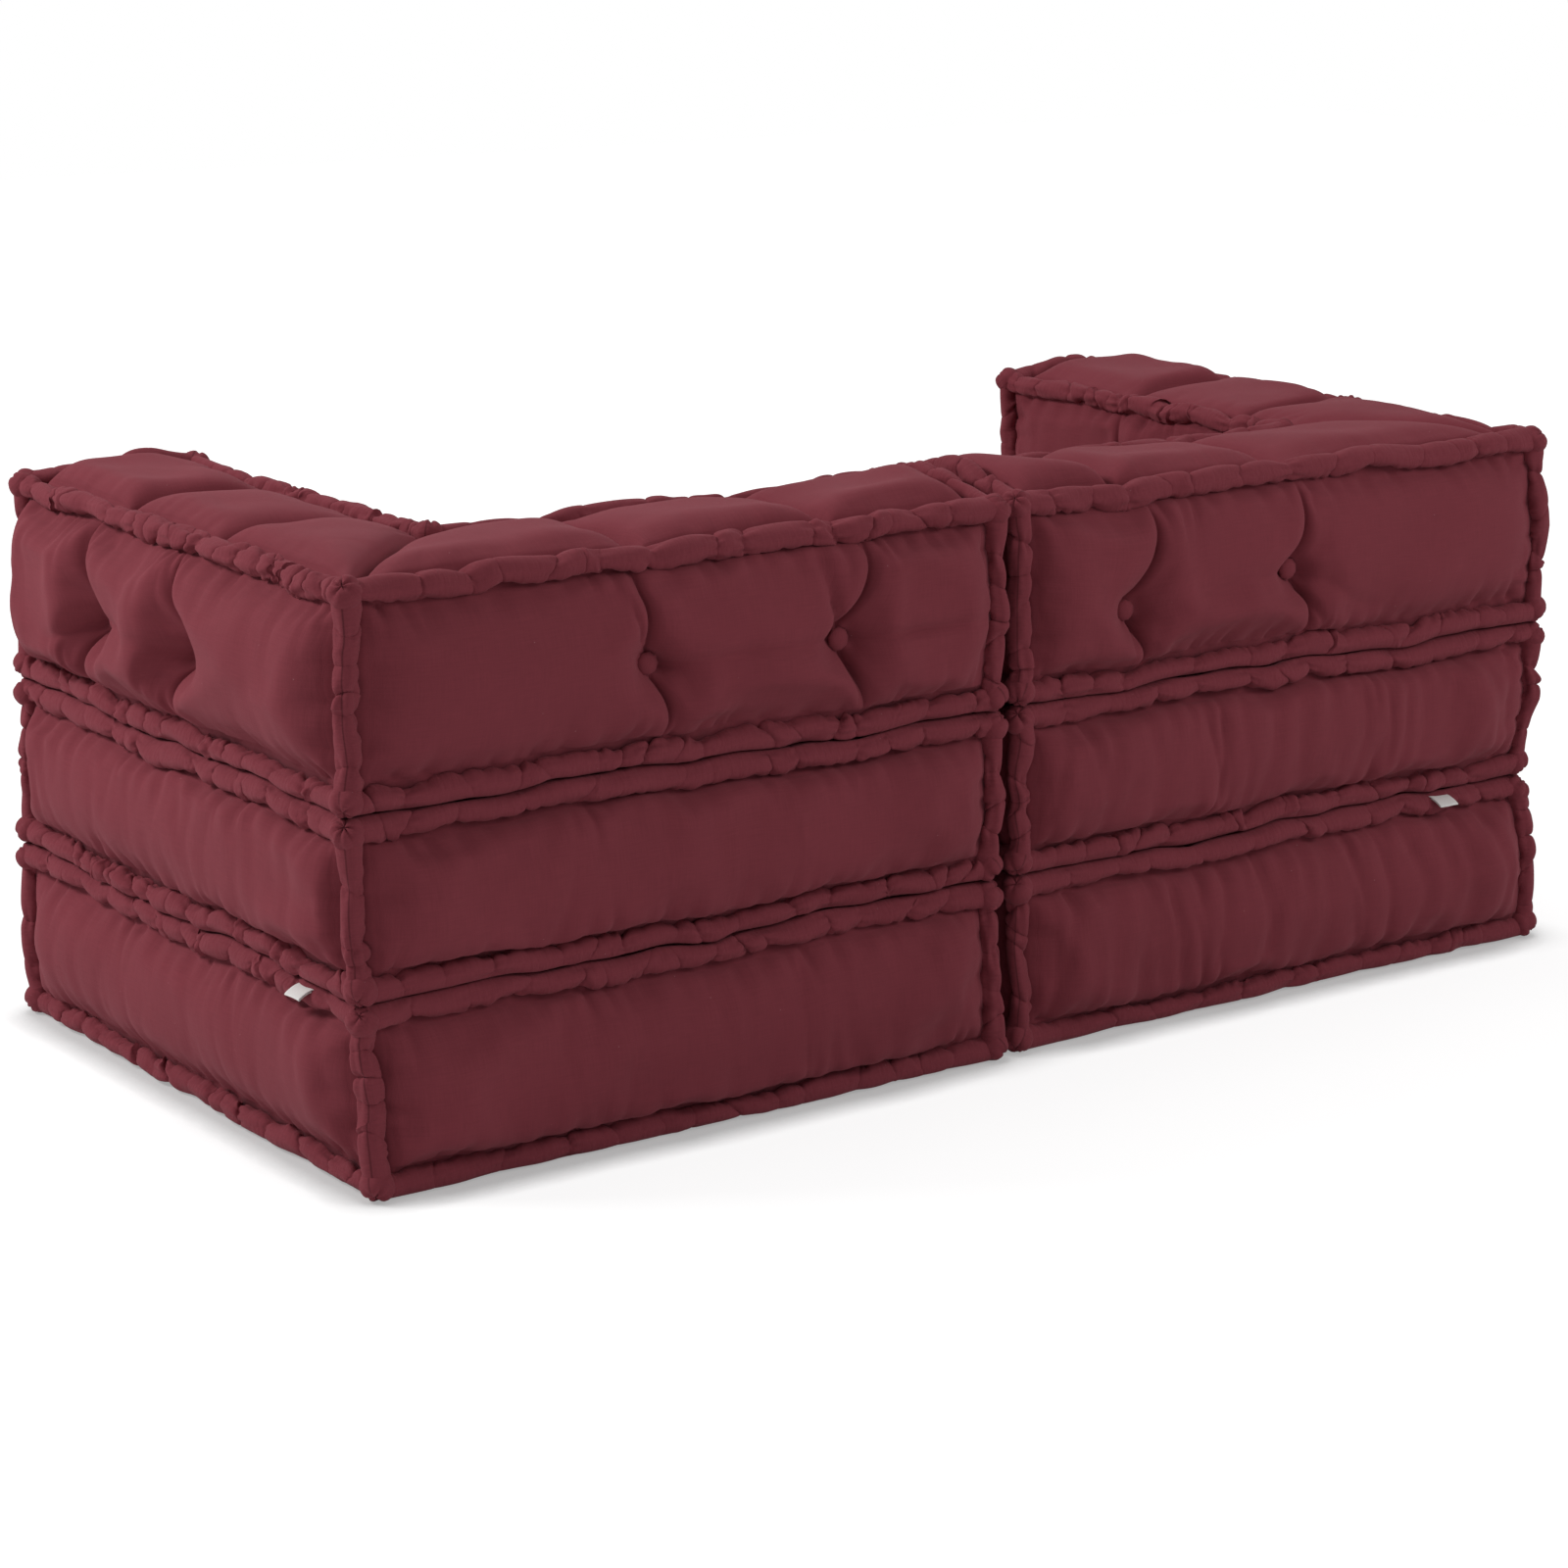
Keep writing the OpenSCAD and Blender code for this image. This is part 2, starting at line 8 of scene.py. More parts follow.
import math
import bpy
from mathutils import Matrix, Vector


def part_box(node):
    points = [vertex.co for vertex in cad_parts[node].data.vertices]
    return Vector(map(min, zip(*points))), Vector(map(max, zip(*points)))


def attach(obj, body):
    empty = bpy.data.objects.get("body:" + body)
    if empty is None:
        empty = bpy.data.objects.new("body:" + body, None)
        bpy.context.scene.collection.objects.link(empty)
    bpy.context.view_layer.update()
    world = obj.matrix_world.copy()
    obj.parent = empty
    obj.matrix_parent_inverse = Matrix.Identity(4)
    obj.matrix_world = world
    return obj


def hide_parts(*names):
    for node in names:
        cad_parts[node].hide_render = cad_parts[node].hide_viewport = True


bl_info = {
    "name": "Modular Floor Sofa",
    "version": (1, 0, 0),
    "blender": (4, 5, 0),
    "location": "View3D > Sidebar > Sofa",
    "description": "Builds the soft pieces, cloth and studio of a two-seat modular floor sofa",
    "category": "Object",
}

import bpy
import numpy as np
from mathutils import Vector

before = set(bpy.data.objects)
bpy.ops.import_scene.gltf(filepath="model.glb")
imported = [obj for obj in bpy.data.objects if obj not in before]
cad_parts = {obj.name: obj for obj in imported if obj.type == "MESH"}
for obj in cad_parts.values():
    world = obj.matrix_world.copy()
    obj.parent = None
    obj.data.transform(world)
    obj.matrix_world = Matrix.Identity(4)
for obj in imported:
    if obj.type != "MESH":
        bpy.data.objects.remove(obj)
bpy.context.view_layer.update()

SIDES = ("right", "left")
TIERS = ("base", "seat", "back")
CUSHIONS = [(side, tier) for side in SIDES for tier in TIERS]


# Sizes taken from the frame

def roll_box(side, tier):
    """Lowest and highest corner of a cushion's edge roll, in millimetres."""
    low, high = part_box(f"{side}_{tier}_edge_roll")
    return np.array(low) * 1000.0, np.array(high) * 1000.0


def tier_span(tier):
    """Underside and height of a tier of cushions, in millimetres."""
    low, high = roll_box("right", tier)
    return low[2], high[2] - low[2]


class CushionSizes(bpy.types.PropertyGroup):
    """Sizes that all six cushions share."""

    roll_radius: bpy.props.FloatProperty(
        name="Roll radius", description="Radius of the stuffed roll along the edges",
        default=0.014, min=0.008, max=0.02, unit="LENGTH")
    knob_radius: bpy.props.FloatProperty(
        name="Knob radius", description="Radius of the knob where rolls meet at a corner",
        default=0.016, min=0.01, max=0.02, unit="LENGTH")
    back_thickness: bpy.props.FloatProperty(
        name="Back thickness", description="Thickness of back and arm, between the middles of their rolls",
        default=0.183, min=0.15, max=0.25, unit="LENGTH")
    side_swell: bpy.props.FloatProperty(
        name="Side swell", description="How far an outer side stands past the middle of its rolls",
        default=0.032, min=0.02, max=0.036, unit="LENGTH")
    joint_swell: bpy.props.FloatProperty(
        name="Meeting swell", description="How far a side swells where the modules meet",
        default=0.014, min=0.005, max=0.016, unit="LENGTH")
    inner_swell: bpy.props.FloatProperty(
        name="Inner swell", description="How far the back and arm swell towards the sitter",
        default=0.021, min=0.01, max=0.026, unit="LENGTH")
    top_crown: bpy.props.FloatProperty(
        name="Top crown", description="How high a free top swells above the middle of its rolls",
        default=0.028, min=0.02, max=0.036, unit="LENGTH")
    tuft_rest: bpy.props.FloatProperty(
        name="Tuft rest", description="How far outside the middles of the rolls an outer tuft's dimple ends",
        default=0.003, min=-0.005, max=0.01, unit="LENGTH")
    inner_tuft_rest: bpy.props.FloatProperty(
        name="Inner tuft rest",
        description="How far outside the middles of the rolls an inner tuft's dimple ends",
        default=-0.002, min=-0.01, max=0.01, unit="LENGTH")
    pouf_tuft_depth: bpy.props.FloatProperty(
        name="Seat tuft depth", description="Depth of a base or seat tuft below the resting face",
        default=0.017, min=0.01, max=0.024, unit="LENGTH")
    dimple_radius: bpy.props.FloatProperty(
        name="Dimple radius", description="Radius of the dimple that a tuft draws",
        default=0.038, min=0.02, max=0.06, unit="LENGTH")
    button_radius: bpy.props.FloatProperty(
        name="Button radius", description="Radius of a cloth-covered button",
        default=0.011, min=0.008, max=0.014, unit="LENGTH")
    button_height: bpy.props.FloatProperty(
        name="Button height", description="Height of a button's dome",
        default=0.006, min=0.004, max=0.008, unit="LENGTH")


class TuftPlaces(bpy.types.PropertyGroup):
    """Where the back and arm tufts sit."""

    right_corner: bpy.props.FloatProperty(
        name="Right, from corner", description="Right back, from its corner to the first tuft",
        default=0.300, unit="LENGTH")
    right_end: bpy.props.FloatProperty(
        name="Right, from end", description="Right back, from its free end to the last tuft",
        default=0.182, unit="LENGTH")
    left_corner: bpy.props.FloatProperty(
        name="Left, from corner", description="Left back, from its corner to the first tuft",
        default=0.349, unit="LENGTH")
    left_end: bpy.props.FloatProperty(
        name="Left, from end", description="Left back, from its free end to the last tuft",
        default=0.131, unit="LENGTH")
    arm_corner: bpy.props.FloatProperty(
        name="Arm, from corner", description="Both arms, from the corner to the first tuft",
        default=0.270, unit="LENGTH")
    arm_end: bpy.props.FloatProperty(
        name="Arm, from end", description="Both arms, from the front end to the last tuft",
        default=0.204, unit="LENGTH")
    height: bpy.props.FloatProperty(
        name="Height", description="Height of the tufts above the back cushion's underside",
        default=0.095, unit="LENGTH")


class ClothFinish(bpy.types.PropertyGroup):
    """Colours and weave of the cloth."""

    cover_colour: bpy.props.FloatVectorProperty(
        name="Cover", description="Colour of the cushion covers",
        subtype="COLOR", size=3, default=(0.205, 0.038, 0.051), min=0.0, max=1.0)
    roll_colour: bpy.props.FloatVectorProperty(
        name="Edge roll", description="Colour of the stuffed edge rolls",
        subtype="COLOR", size=3, default=(0.205, 0.038, 0.051), min=0.0, max=1.0)
    thread_pitch: bpy.props.FloatProperty(
        name="Thread pitch", description="Distance from one thread of the weave to the next",
        default=0.0009, min=0.0003, max=0.003, unit="LENGTH")
    label_colour: bpy.props.FloatVectorProperty(
        name="Label", description="Colour of the blank label tape",
        subtype="COLOR", size=3, default=(0.84, 0.82, 0.80), min=0.0, max=1.0)


class StudioLook(bpy.types.PropertyGroup):
    """Floor, light and camera."""

    floor_colour: bpy.props.FloatVectorProperty(
        name="Floor", description="Colour of the floor under the object",
        subtype="COLOR", size=3, default=(0.86, 0.86, 0.86), min=0.0, max=1.0)
    sky_strength: bpy.props.FloatProperty(
        name="Room light", description="Strength of the even light from the room", default=0.33)
    key_power: bpy.props.FloatProperty(
        name="Key light", description="Power of the large soft lamp", default=76.0, unit="POWER")
    lens: bpy.props.FloatProperty(
        name="Lens", description="Focal length in millimetres on a 36 mm sensor", default=85.7)


def sizes():
    """The shared sizes in millimetres, with the lengths that follow from them.

    A panel's rim lies edge inside the middles of its rolls, and a side panel ends seam above or below
    them. The cloth is tucked behind a roll to within tuck of its middle. A free top starts top_lip
    above its roll's height, and an outer tuft is drawn sink deeper than it rests in the frame. A base
    or seat tuft stands at thirds of the width between the frame's creases, frame_crease from the rolls.
    """
    scene = bpy.context.scene
    mm = {k: getattr(scene.sofa_sizes, k) * 1000.0 for k in CushionSizes.__annotations__}
    mm.update({"tuft_" + k: getattr(scene.sofa_tufts, k) * 1000.0 for k in TuftPlaces.__annotations__})
    low, high = roll_box("right", "base")
    mm.update(
        width=high[0] - low[0] - 2 * mm["knob_radius"],
        half_depth=(high[1] - low[1]) / 2 - mm["knob_radius"],
        half_gap=low[0] + mm["knob_radius"],
        frame_crease=(mm["roll_radius"] + 0.3) * math.sqrt(2),
        edge=mm["roll_radius"] + 1.5,
        seam=mm["roll_radius"] - 2.2,
        tuck=1.5,
        top_lip=-1.0,
        sink=3.5,
    )
    return mm


# Small shape functions

def mix(a, b, t):
    """The value a share t of the way from a to b."""
    return a + (b - a) * t


def puff(share):
    """sqrt(1 - (1 - share) ** 3): 0 and steep at 0, 1 and level from share 1 on."""
    return np.sqrt(1.0 - (1.0 - np.clip(share, 0.0, 1.0)) ** 3)


def plump(v, power):
    """A stuffed side's cross-section: 0 at v = 0 and 1, 1 half way, full beside its edges."""
    return np.sqrt(np.maximum(0.0, 1.0 - np.abs(2.0 * v - 1.0) ** power))


def smooth(t):
    """An S-shaped step from 0 to 1."""
    t = np.clip(t, 0.0, 1.0)
    return t * t * (3.0 - 2.0 * t)


def bell(distance, width, power=2.0):
    """exp(-(distance / width) ** power): 1 at distance 0, and gone at about twice the width."""
    return np.exp(-(distance / width) ** power)


# Powers of bell() for the section of a crease, of a dimple, and of a gather away from its roll
CREASE_POWER, DIMPLE_POWER, GATHER_POWER = 1.3, 1.8, 1.6


def lumps(a, b, seed, size, amount):
    """Uneven stuffing: crossing sine waves of about the given length, with seeded directions and phases."""
    pick = np.random.default_rng(seed)
    total = np.zeros(np.broadcast(a, b).shape)
    for _ in range(9):
        turn, phase = pick.uniform(0, 2 * math.pi, 2)
        k = 2 * math.pi / (size * pick.uniform(0.6, 1.8))
        total = total + np.sin(k * (a * math.cos(turn) + b * math.sin(turn)) + phase)
    return total * amount / 3.0


def knotted(knots, counts, gather=0.6):
    """Points along a line of knots, a count of them to each stretch.

    The share u of a stretch is moved by -gather sin(2 pi u) / (2 pi), which gathers points at knots.
    """
    parts = []
    for a, b, n in zip(knots[:-1], knots[1:], counts):
        u = np.arange(n) / n
        u = u - gather * np.sin(2 * math.pi * u) / (2 * math.pi)
        parts.append(a + (b - a) * u.reshape((-1,) + (1,) * np.ndim(a)))
    return np.concatenate(parts + [np.asarray(knots[-1:])])


def stations(knots, step, times, gather=0.6):
    """Places along a run of knots, about one step apart and then divided the given number of times."""
    counts = [max(6, int(round(abs(b - a) / step))) * times for a, b in zip(knots[:-1], knots[1:])]
    return knotted(knots, counts, gather)


def between(values, times, axis, closed=False):
    """Values on a grid divided the given number of times, by a Catmull-Rom curve through four neighbours."""
    v = np.moveaxis(values, axis, 0)
    n = len(v)
    if closed:
        at = np.arange(n * times) / times
        v = np.concatenate([v[-1:], v, v[:2]])
    else:
        at = np.arange((n - 1) * times + 1) / times
        v = np.concatenate([2 * v[:1] - v[1:2], v, 2 * v[-1:] - v[-2:-1], v[-1:]])
    k = np.floor(at).astype(int)
    u = (at - k).reshape((-1,) + (1,) * (v.ndim - 1))
    a, b, c, d = v[k], v[k + 1], v[k + 2], v[k + 3]
    out = 0.5 * (2 * b + (c - a) * u + (2 * a - 5 * b + 4 * c - d) * u ** 2
                 + (3 * b - a - 3 * c + d) * u ** 3)
    return np.moveaxis(out, 0, axis)


def groove(a, b, line, width, depth, fade):
    """A crease along a line of points: depth times exp(-(distance / width) ** 1.3), fading to its far end."""
    line = np.asarray(line, float)
    best = np.full(np.broadcast(a, b).shape, 1e9)
    along = np.zeros_like(best)
    lengths = np.hypot(*np.diff(line, axis=0).T)
    start = np.concatenate([[0.0], np.cumsum(lengths)])
    for p, q, n, s in zip(line[:-1], line[1:], lengths, start):
        u = np.clip(((a - p[0]) * (q[0] - p[0]) + (b - p[1]) * (q[1] - p[1])) / n ** 2, 0, 1)
        d = np.hypot(a - p[0] - u * (q[0] - p[0]), b - p[1] - u * (q[1] - p[1]))
        along = np.where(d < best, (s + u * n) / start[-1], along)
        best = np.minimum(best, d)
    return depth * (1.0 - fade * along ** 2) * bell(best, width, CREASE_POWER)


def pleats(t, away, length, seed, spacing, amount, reach):
    """Gathers beside a roll: round ridges between narrow valleys at seeded places.

    Each valley is -amount (1 - distance / half the space to its neighbour) squared, leans a little,
    and dies out after its own reach.
    """
    pick = np.random.default_rng(seed)
    places = np.cumsum(spacing * pick.uniform(0.55, 1.5, int(2.2 * length / spacing) + 4))
    places = places[places < length - 0.3 * spacing]
    gaps = np.diff(places, prepend=places[:1] - spacing, append=places[-1:] + spacing)
    total = np.zeros(np.broadcast(t, away).shape)
    for middle, before, after in zip(places, gaps[:-1], gaps[1:]):
        deep = amount * pick.uniform(0.35, 1.0)
        far = reach * pick.uniform(0.4, 1.25)
        away_from = t - middle - pick.uniform(-0.28, 0.28) * away
        share = np.abs(away_from) / (0.5 * np.where(away_from < 0, before, after))
        total -= deep * (1 - np.minimum(share, 1.0)) ** 2 * bell(away, far, GATHER_POWER)
    return total


def ring(around):
    """Angles of the points round a tube."""
    return np.arange(around) * 2 * math.pi / around


def half_turn(angle):
    """An angle brought to between minus pi and pi."""
    return (angle + math.pi) % (2 * math.pi) - math.pi


def spokes(side, other, angle):
    """Directions in the plane of two others at the given angles."""
    return side * np.cos(angle)[..., None] + other * np.sin(angle)[..., None]


def frame_of(axis, hint=None):
    """An axis and two directions square to it, of which the first is also square to the hint."""
    axis = np.asarray(axis, float) / np.linalg.norm(axis)
    if hint is None:
        hint = (0.0, 0.0, 1.0) if abs(axis[2]) < 0.9 else (1.0, 0.0, 0.0)
    side = np.cross(axis, hint)
    side /= np.linalg.norm(side)
    return axis, side, np.cross(axis, side)


# How a module's pieces settle together

SETTLE_HEIGHTS = (0.0, 90.0, 180.0, 265.0, 350.0, 455.0, 560.0)
# Lean of each module's corners at those heights, in millimetres along X and Y of its own place
LEAN = {
    "right": {
        "rear_outer": ((-8, 5), (-2, 2), (1, 0), (6, -2), (9, -2), (7, -1), (4, -2)),
        "front_outer": ((9, -8), (13, -12), (11, -9), (8, -5), (6, -5), (5, -3), (2, 0)),
        "rear_meet": ((0, 10), (0, 8), (1, -3), (0, 6), (0, 1), (-2, 5), (0, 0)),
        "front_meet": ((0, -5), (0, -3), (0, 2), (0, -4), (0, 2), (0, -2), (0, 0)),
    },
    "left": {
        "rear_outer": ((9, 7), (11, 9), (-4, -6), (5, 4), (4, 4), (6, 6), (-3, -3)),
        "front_outer": ((6, -8), (9, -8), (3, -2), (7, -5), (5, -3), (6, -3), (0, 0)),
        "rear_meet": ((0, 4), (0, 1), (0, 0), (0, 0), (0, -2), (-1, -5), (-2, -9)),
        "front_meet": ((0, -4), (0, -3), (0, 1), (0, -3), (0, 1), (0, -1), (0, 0)),
    },
}
# Waves of the lower and upper seam between the tiers, beside each edge of a module: millimetres,
# radians over the edge's whole length, and phase
SEAM_WAVES = {
    "lower": {"rear": ((3.5, 9, 0), (1.8, 23, 1), (1.3, 49, 0)),
              "outer": ((3.5, 8, 2), (1.8, 21, 0), (1.4, 52, 0)),
              "front": ((3.0, 11, 0),), "meet": ((2.5, 10, 0),)},
    "upper": {"rear": ((3.0, 10, 2), (2.0, 21, 0), (1.5, 45, 1)),
              "outer": ((3.5, 9, 1), (1.8, 24, 2), (1.5, 48, 2)),
              "front": ((2.0, 9, 0),), "meet": ((2.5, 12, 2),)},
}
SEAM_SHIFT = {"right": 0.0, "left": 1.9}
SEAM_REACH = 55.0
# Rise of the middle of the back's free end and of the arm's front end, and how far in it reaches
BACK_ARCH, ARM_ARCH, ARCH_REACH = 20.0, 9.0, 52.0
# The left back's last tuft is sewn lower: by how much, how far along the back that is felt, and
# where across it that begins and over what distance it grows to the full
LOW_TUFT_SAG, LOW_TUFT_REACH, LOW_TUFT_START, LOW_TUFT_RAMP = 17.0, 62.0, 200.0, 110.0
FLOOR_CLEARANCE = 0.3


def footprint_shares(x, y, s):
    """How far a place is from the meeting side to the arm side, and from the front to the rear."""
    return np.clip(x / s["width"], 0, 1), np.clip((y + s["half_depth"]) / (2 * s["half_depth"]), 0, 1)


def seam_rise(x, y, side, seam, s):
    """Rise of a seam between tiers: sine waves along each edge, 0 at the corners, that fade inwards."""
    u, w = footprint_shares(x, y, s)
    total = 0.0
    for edge, share, away in (("rear", u, s["half_depth"] - y), ("outer", w, s["width"] - x),
                              ("front", u, s["half_depth"] + y), ("meet", w, x)):
        waves = sum(rise * np.sin(speed * share + phase + SEAM_SHIFT[side])
                    for rise, speed, phase in SEAM_WAVES[seam][edge])
        total = total + bell(np.maximum(0.0, away), SEAM_REACH, 1.0) * np.sin(math.pi * share) * waves
    return total


def place(points, side, s):
    """Settles points of one module and puts them in the row frame, in metres.

    Every point leans with its module's four corners, blended by its place across the footprint and
    its height, and rises with the seams between the tiers, so neighbours keep their clearance. Both
    ends of the back and arm cushion arch up between their corners. The left module is the mirror
    image of the right one, and its last tuft is sewn lower.
    """
    p = np.array(points, float)
    x, y, z = p[..., 0].copy(), p[..., 1].copy(), p[..., 2].copy()
    u, w = footprint_shares(x, y, s)
    for corner, weight in (("rear_outer", u * w), ("front_outer", u * (1 - w)),
                           ("rear_meet", (1 - u) * w), ("front_meet", (1 - u) * (1 - w))):
        lean = np.array(LEAN[side][corner], float)
        for axis in (0, 1):
            p[..., axis] += weight * np.interp(z, SETTLE_HEIGHTS, lean[:, axis])
    seam_1, seam_2 = tier_span("seat")[0], tier_span("back")[0]
    top = seam_2 + tier_span("back")[1]
    p[..., 2] += seam_rise(x, y, side, "lower", s) * np.interp(z, (0, seam_1, seam_2), (0, 1, 0))
    p[..., 2] += seam_rise(x, y, side, "upper", s) * np.interp(z, (seam_1, seam_2, top), (0, 1, 0))
    up = np.clip((z - seam_2) / (top - seam_2), 0, 1)
    for along, across, arch in ((x, y - s["half_depth"], BACK_ARCH),
                                (y + s["half_depth"], x - s["width"], ARM_ARCH)):
        bow = np.sin(math.pi * np.clip(1 + across / s["back_thickness"], 0, 1)) ** 1.5
        p[..., 2] += arch * up ** 1.5 * bow * bell(np.maximum(0.0, along), ARCH_REACH)
    if side == "left":
        near = bell(x - s["tuft_left_end"], LOW_TUFT_REACH) * smooth((y - LOW_TUFT_START) / LOW_TUFT_RAMP)
        p[..., 2] -= LOW_TUFT_SAG * near * np.sin(math.pi * up) ** 1.5
    p[..., 2] = np.maximum(p[..., 2], FLOOR_CLEARANCE)
    p[..., 0] = (1.0 if side == "right" else -1.0) * (p[..., 0] + s["half_gap"])
    return p / 1000.0


# Meshes from arrays

def fill_mesh(name, points, quads, uv=None):
    """One closed mesh from arrays: points, faces of four corners and a UV for each face corner.

    Faces are turned to point outwards if the signed volume is negative.
    """
    quads = np.asarray(quads, np.int64)
    p = points[quads]
    volume = np.einsum("ij,ij->i", p[:, 0], np.cross(p[:, 1], p[:, 2])).sum() \
        + np.einsum("ij,ij->i", p[:, 0], np.cross(p[:, 2], p[:, 3])).sum()
    if volume < 0:
        quads = quads[:, ::-1]
        uv = None if uv is None else uv[:, ::-1]
    mesh = bpy.data.meshes.new(name)
    mesh.vertices.add(len(points))
    mesh.vertices.foreach_set("co", np.asarray(points, np.float32).ravel())
    mesh.loops.add(quads.size)
    mesh.loops.foreach_set("vertex_index", quads.ravel().astype(np.int32))
    mesh.polygons.add(len(quads))
    mesh.polygons.foreach_set("loop_start", np.arange(0, quads.size, 4, dtype=np.int32))
    mesh.polygons.foreach_set("use_smooth", np.ones(len(quads), bool))
    if uv is not None:
        layer = mesh.uv_layers.new(name="cloth")
        layer.data.foreach_set("uv", np.asarray(uv, np.float32).ravel())
    mesh.update(calc_edges=True)
    mesh.validate()
    return mesh


def add_piece(mesh, body, node, material):
    """Links a piece at the origin, lets it ride on its body and stand for its CAD node."""
    piece = bpy.data.objects.new(mesh.name, mesh)
    bpy.context.scene.collection.objects.link(piece)
    mesh.materials.append(material)
    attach(piece, body)
    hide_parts(node)
    return piece


def cushion_piece(cushion, name, node, material, shell, s):
    """A piece of one cushion from its (points, faces, uv) in its module's own place."""
    body = "_".join(cushion)
    points, faces, uv = shell
    mesh = fill_mesh(f"{body}_{name}", place(points, cushion[0], s), faces, uv)
    return add_piece(mesh, body, f"{body}_{node}", material)


def grid_faces(rows, columns, first=0, wrap=False):
    """Quads of a grid whose points start at number first; wrap joins its last column to its first."""
    i, j = np.meshgrid(np.arange(rows - 1), np.arange(columns if wrap else columns - 1), indexing="ij")
    k = (j + 1) % columns
    a, b, c, d = (first + r * columns + q for r, q in ((i, j), (i, k), (i + 1, k), (i + 1, j)))
    return np.stack([a, b, c, d], -1).reshape(-1, 4)


def tube_uv(u, v):
    """UVs in metres of a wrapped grid's faces, from values in millimetres with one column more."""
    uv = np.stack(np.broadcast_arrays(u, v), -1)
    return np.stack([uv[:-1, :-1], uv[:-1, 1:], uv[1:, 1:], uv[1:, :-1]], 2).reshape(-1, 4, 2) / 1000.0


def tube(rings, uv=None):
    """A closed tube as (points, faces, uv) from its rings of points, with quads across both ends."""
    count, around = rings.shape[:2]
    k = np.arange(around // 2 - 1)
    cap = np.stack([k, k + 1, around - 2 - k, around - 1 - k], -1)
    faces = np.concatenate([grid_faces(count, around, wrap=True), cap[:, ::-1], cap + (count - 1) * around])
    all_uv = np.zeros((len(faces), 4, 2))
    if uv is not None:
        all_uv[:len(uv)] = uv
    return rings.reshape(-1, 3), faces, all_uv


def joined(parts):
    """Several (points, faces, uv) as one."""
    points, faces, uvs = zip(*parts)
    first = np.cumsum([0] + [len(p) for p in points[:-1]])
    return np.concatenate(points), np.concatenate([f + n for f, n in zip(faces, first)]), np.concatenate(uvs)


# Covers

def rim_steps(ns, nt):
    """Row and column of each step round the edge of a panel grid."""
    i = np.concatenate([np.arange(ns), np.full(nt, ns), np.arange(ns, 0, -1), np.zeros(nt, int)])
    j = np.concatenate([np.zeros(ns, int), np.arange(nt), np.full(ns, nt), np.arange(nt, 0, -1)])
    return i, j


def skin(top, bottom, rows):
    """A closed shell: a top grid, a bottom grid and rows of side points along their rim, lowest first.

    Its UVs are the cloth's own measure: X and Y on the flat panels, and distance round the rim and
    height on the sides.
    """
    ns, nt = top.shape[0] - 1, top.shape[1] - 1
    i, j = rim_steps(ns, nt)
    grid, count, levels = (ns + 1) * (nt + 1), len(i), len(rows)
    at = i * (nt + 1) + j
    rings = np.vstack([grid + at, 2 * grid + np.arange(levels * count).reshape(levels, count), at])
    top_faces = grid_faces(ns + 1, nt + 1)
    low_faces = grid_faces(ns + 1, nt + 1, grid)[:, ::-1]
    v, p = np.meshgrid(np.arange(levels + 1), np.arange(count), indexing="ij")
    q = (p + 1) % count
    side_faces = np.stack([rings[v, p], rings[v + 1, p], rings[v + 1, q], rings[v, q]], -1).reshape(-1, 4)
    points = np.concatenate([top.reshape(-1, 3), bottom.reshape(-1, 3), rows.reshape(-1, 3)])
    flat = points[:, :2]
    steps = np.hypot(*np.diff(flat[at], axis=0, append=flat[at[:1]]).T)
    round_rim = np.concatenate([[0.0], np.cumsum(steps)])
    height = np.concatenate([bottom[i, j, 2][None], rows[..., 2], top[i, j, 2][None]])
    side_uv = np.stack([
        np.stack([round_rim[p], height[v, p]], -1), np.stack([round_rim[p], height[v + 1, p]], -1),
        np.stack([round_rim[p + 1], height[v + 1, q]], -1), np.stack([round_rim[p + 1], height[v, q]], -1),
    ], 2).reshape(-1, 4, 2)
    uv = np.concatenate([flat[top_faces], flat[low_faces] + 2000.0, side_uv + (0.0, 4000.0)])
    return points, np.concatenate([top_faces, low_faces, side_faces]), uv / 1000.0


def side_rows(step, height, times):
    """Shares of a side's height at which it has points, gathered at both ends."""
    w = np.linspace(0, 1, max(12, int(round(height / step))) * times + 1)
    return mix(w, 0.5 - 0.5 * np.cos(math.pi * w), 0.7)


# Beside a tuft the valley along its crease is this deep a share of the swell and this wide to each
# side, and above and below it turns into the face's own crease within the reach
VALLEY_SHARE, VALLEY_HALF_WIDTH, VALLEY_REACH = 0.88, 42.0, 52.0
# Half width of the dark line along a crease, and how near to the button it ends
CREASE_LINE, CREASE_LINE_END = 4.2, 14.0
# The moat round a button
MOAT_DEPTH, MOAT_RADIUS, MOAT_WIDTH = 3.0, 13.5, 4.5
GROOVE_GAIN = 1.9
# Small scallops under and over a side's rolls, and gathers beside its upright rolls
SCALLOP_SPACING, SCALLOP_DEPTH, SCALLOP_REACH = 26.0, 12.0, 17.0
END_SPACING, END_REACH = 30.0, 20.0
# Gathers keep this clear of a button, but for a small share of them
QUIET_RADIUS, QUIET_SHARE = 34.0, 0.9
# Length and height of the uneven stuffing on a side, on a seat's top and on a back's top
SIDE_LUMPS, SEAT_LUMPS, BACK_LUMPS = (150.0, 1.8), (120.0, 1.2), (110.0, 1.3)
# How far along a side a tuft's curved crease bends its columns, and how near an end none are bent
BEND_REACH, BEND_END = 60.0, 30.0
# The cloth is held fully this near a tuft, and to this share within this width of its crease
HELD_RADIUS, HELD_SHARE, HELD_WIDTH = 9.0, 0.9, 10.0


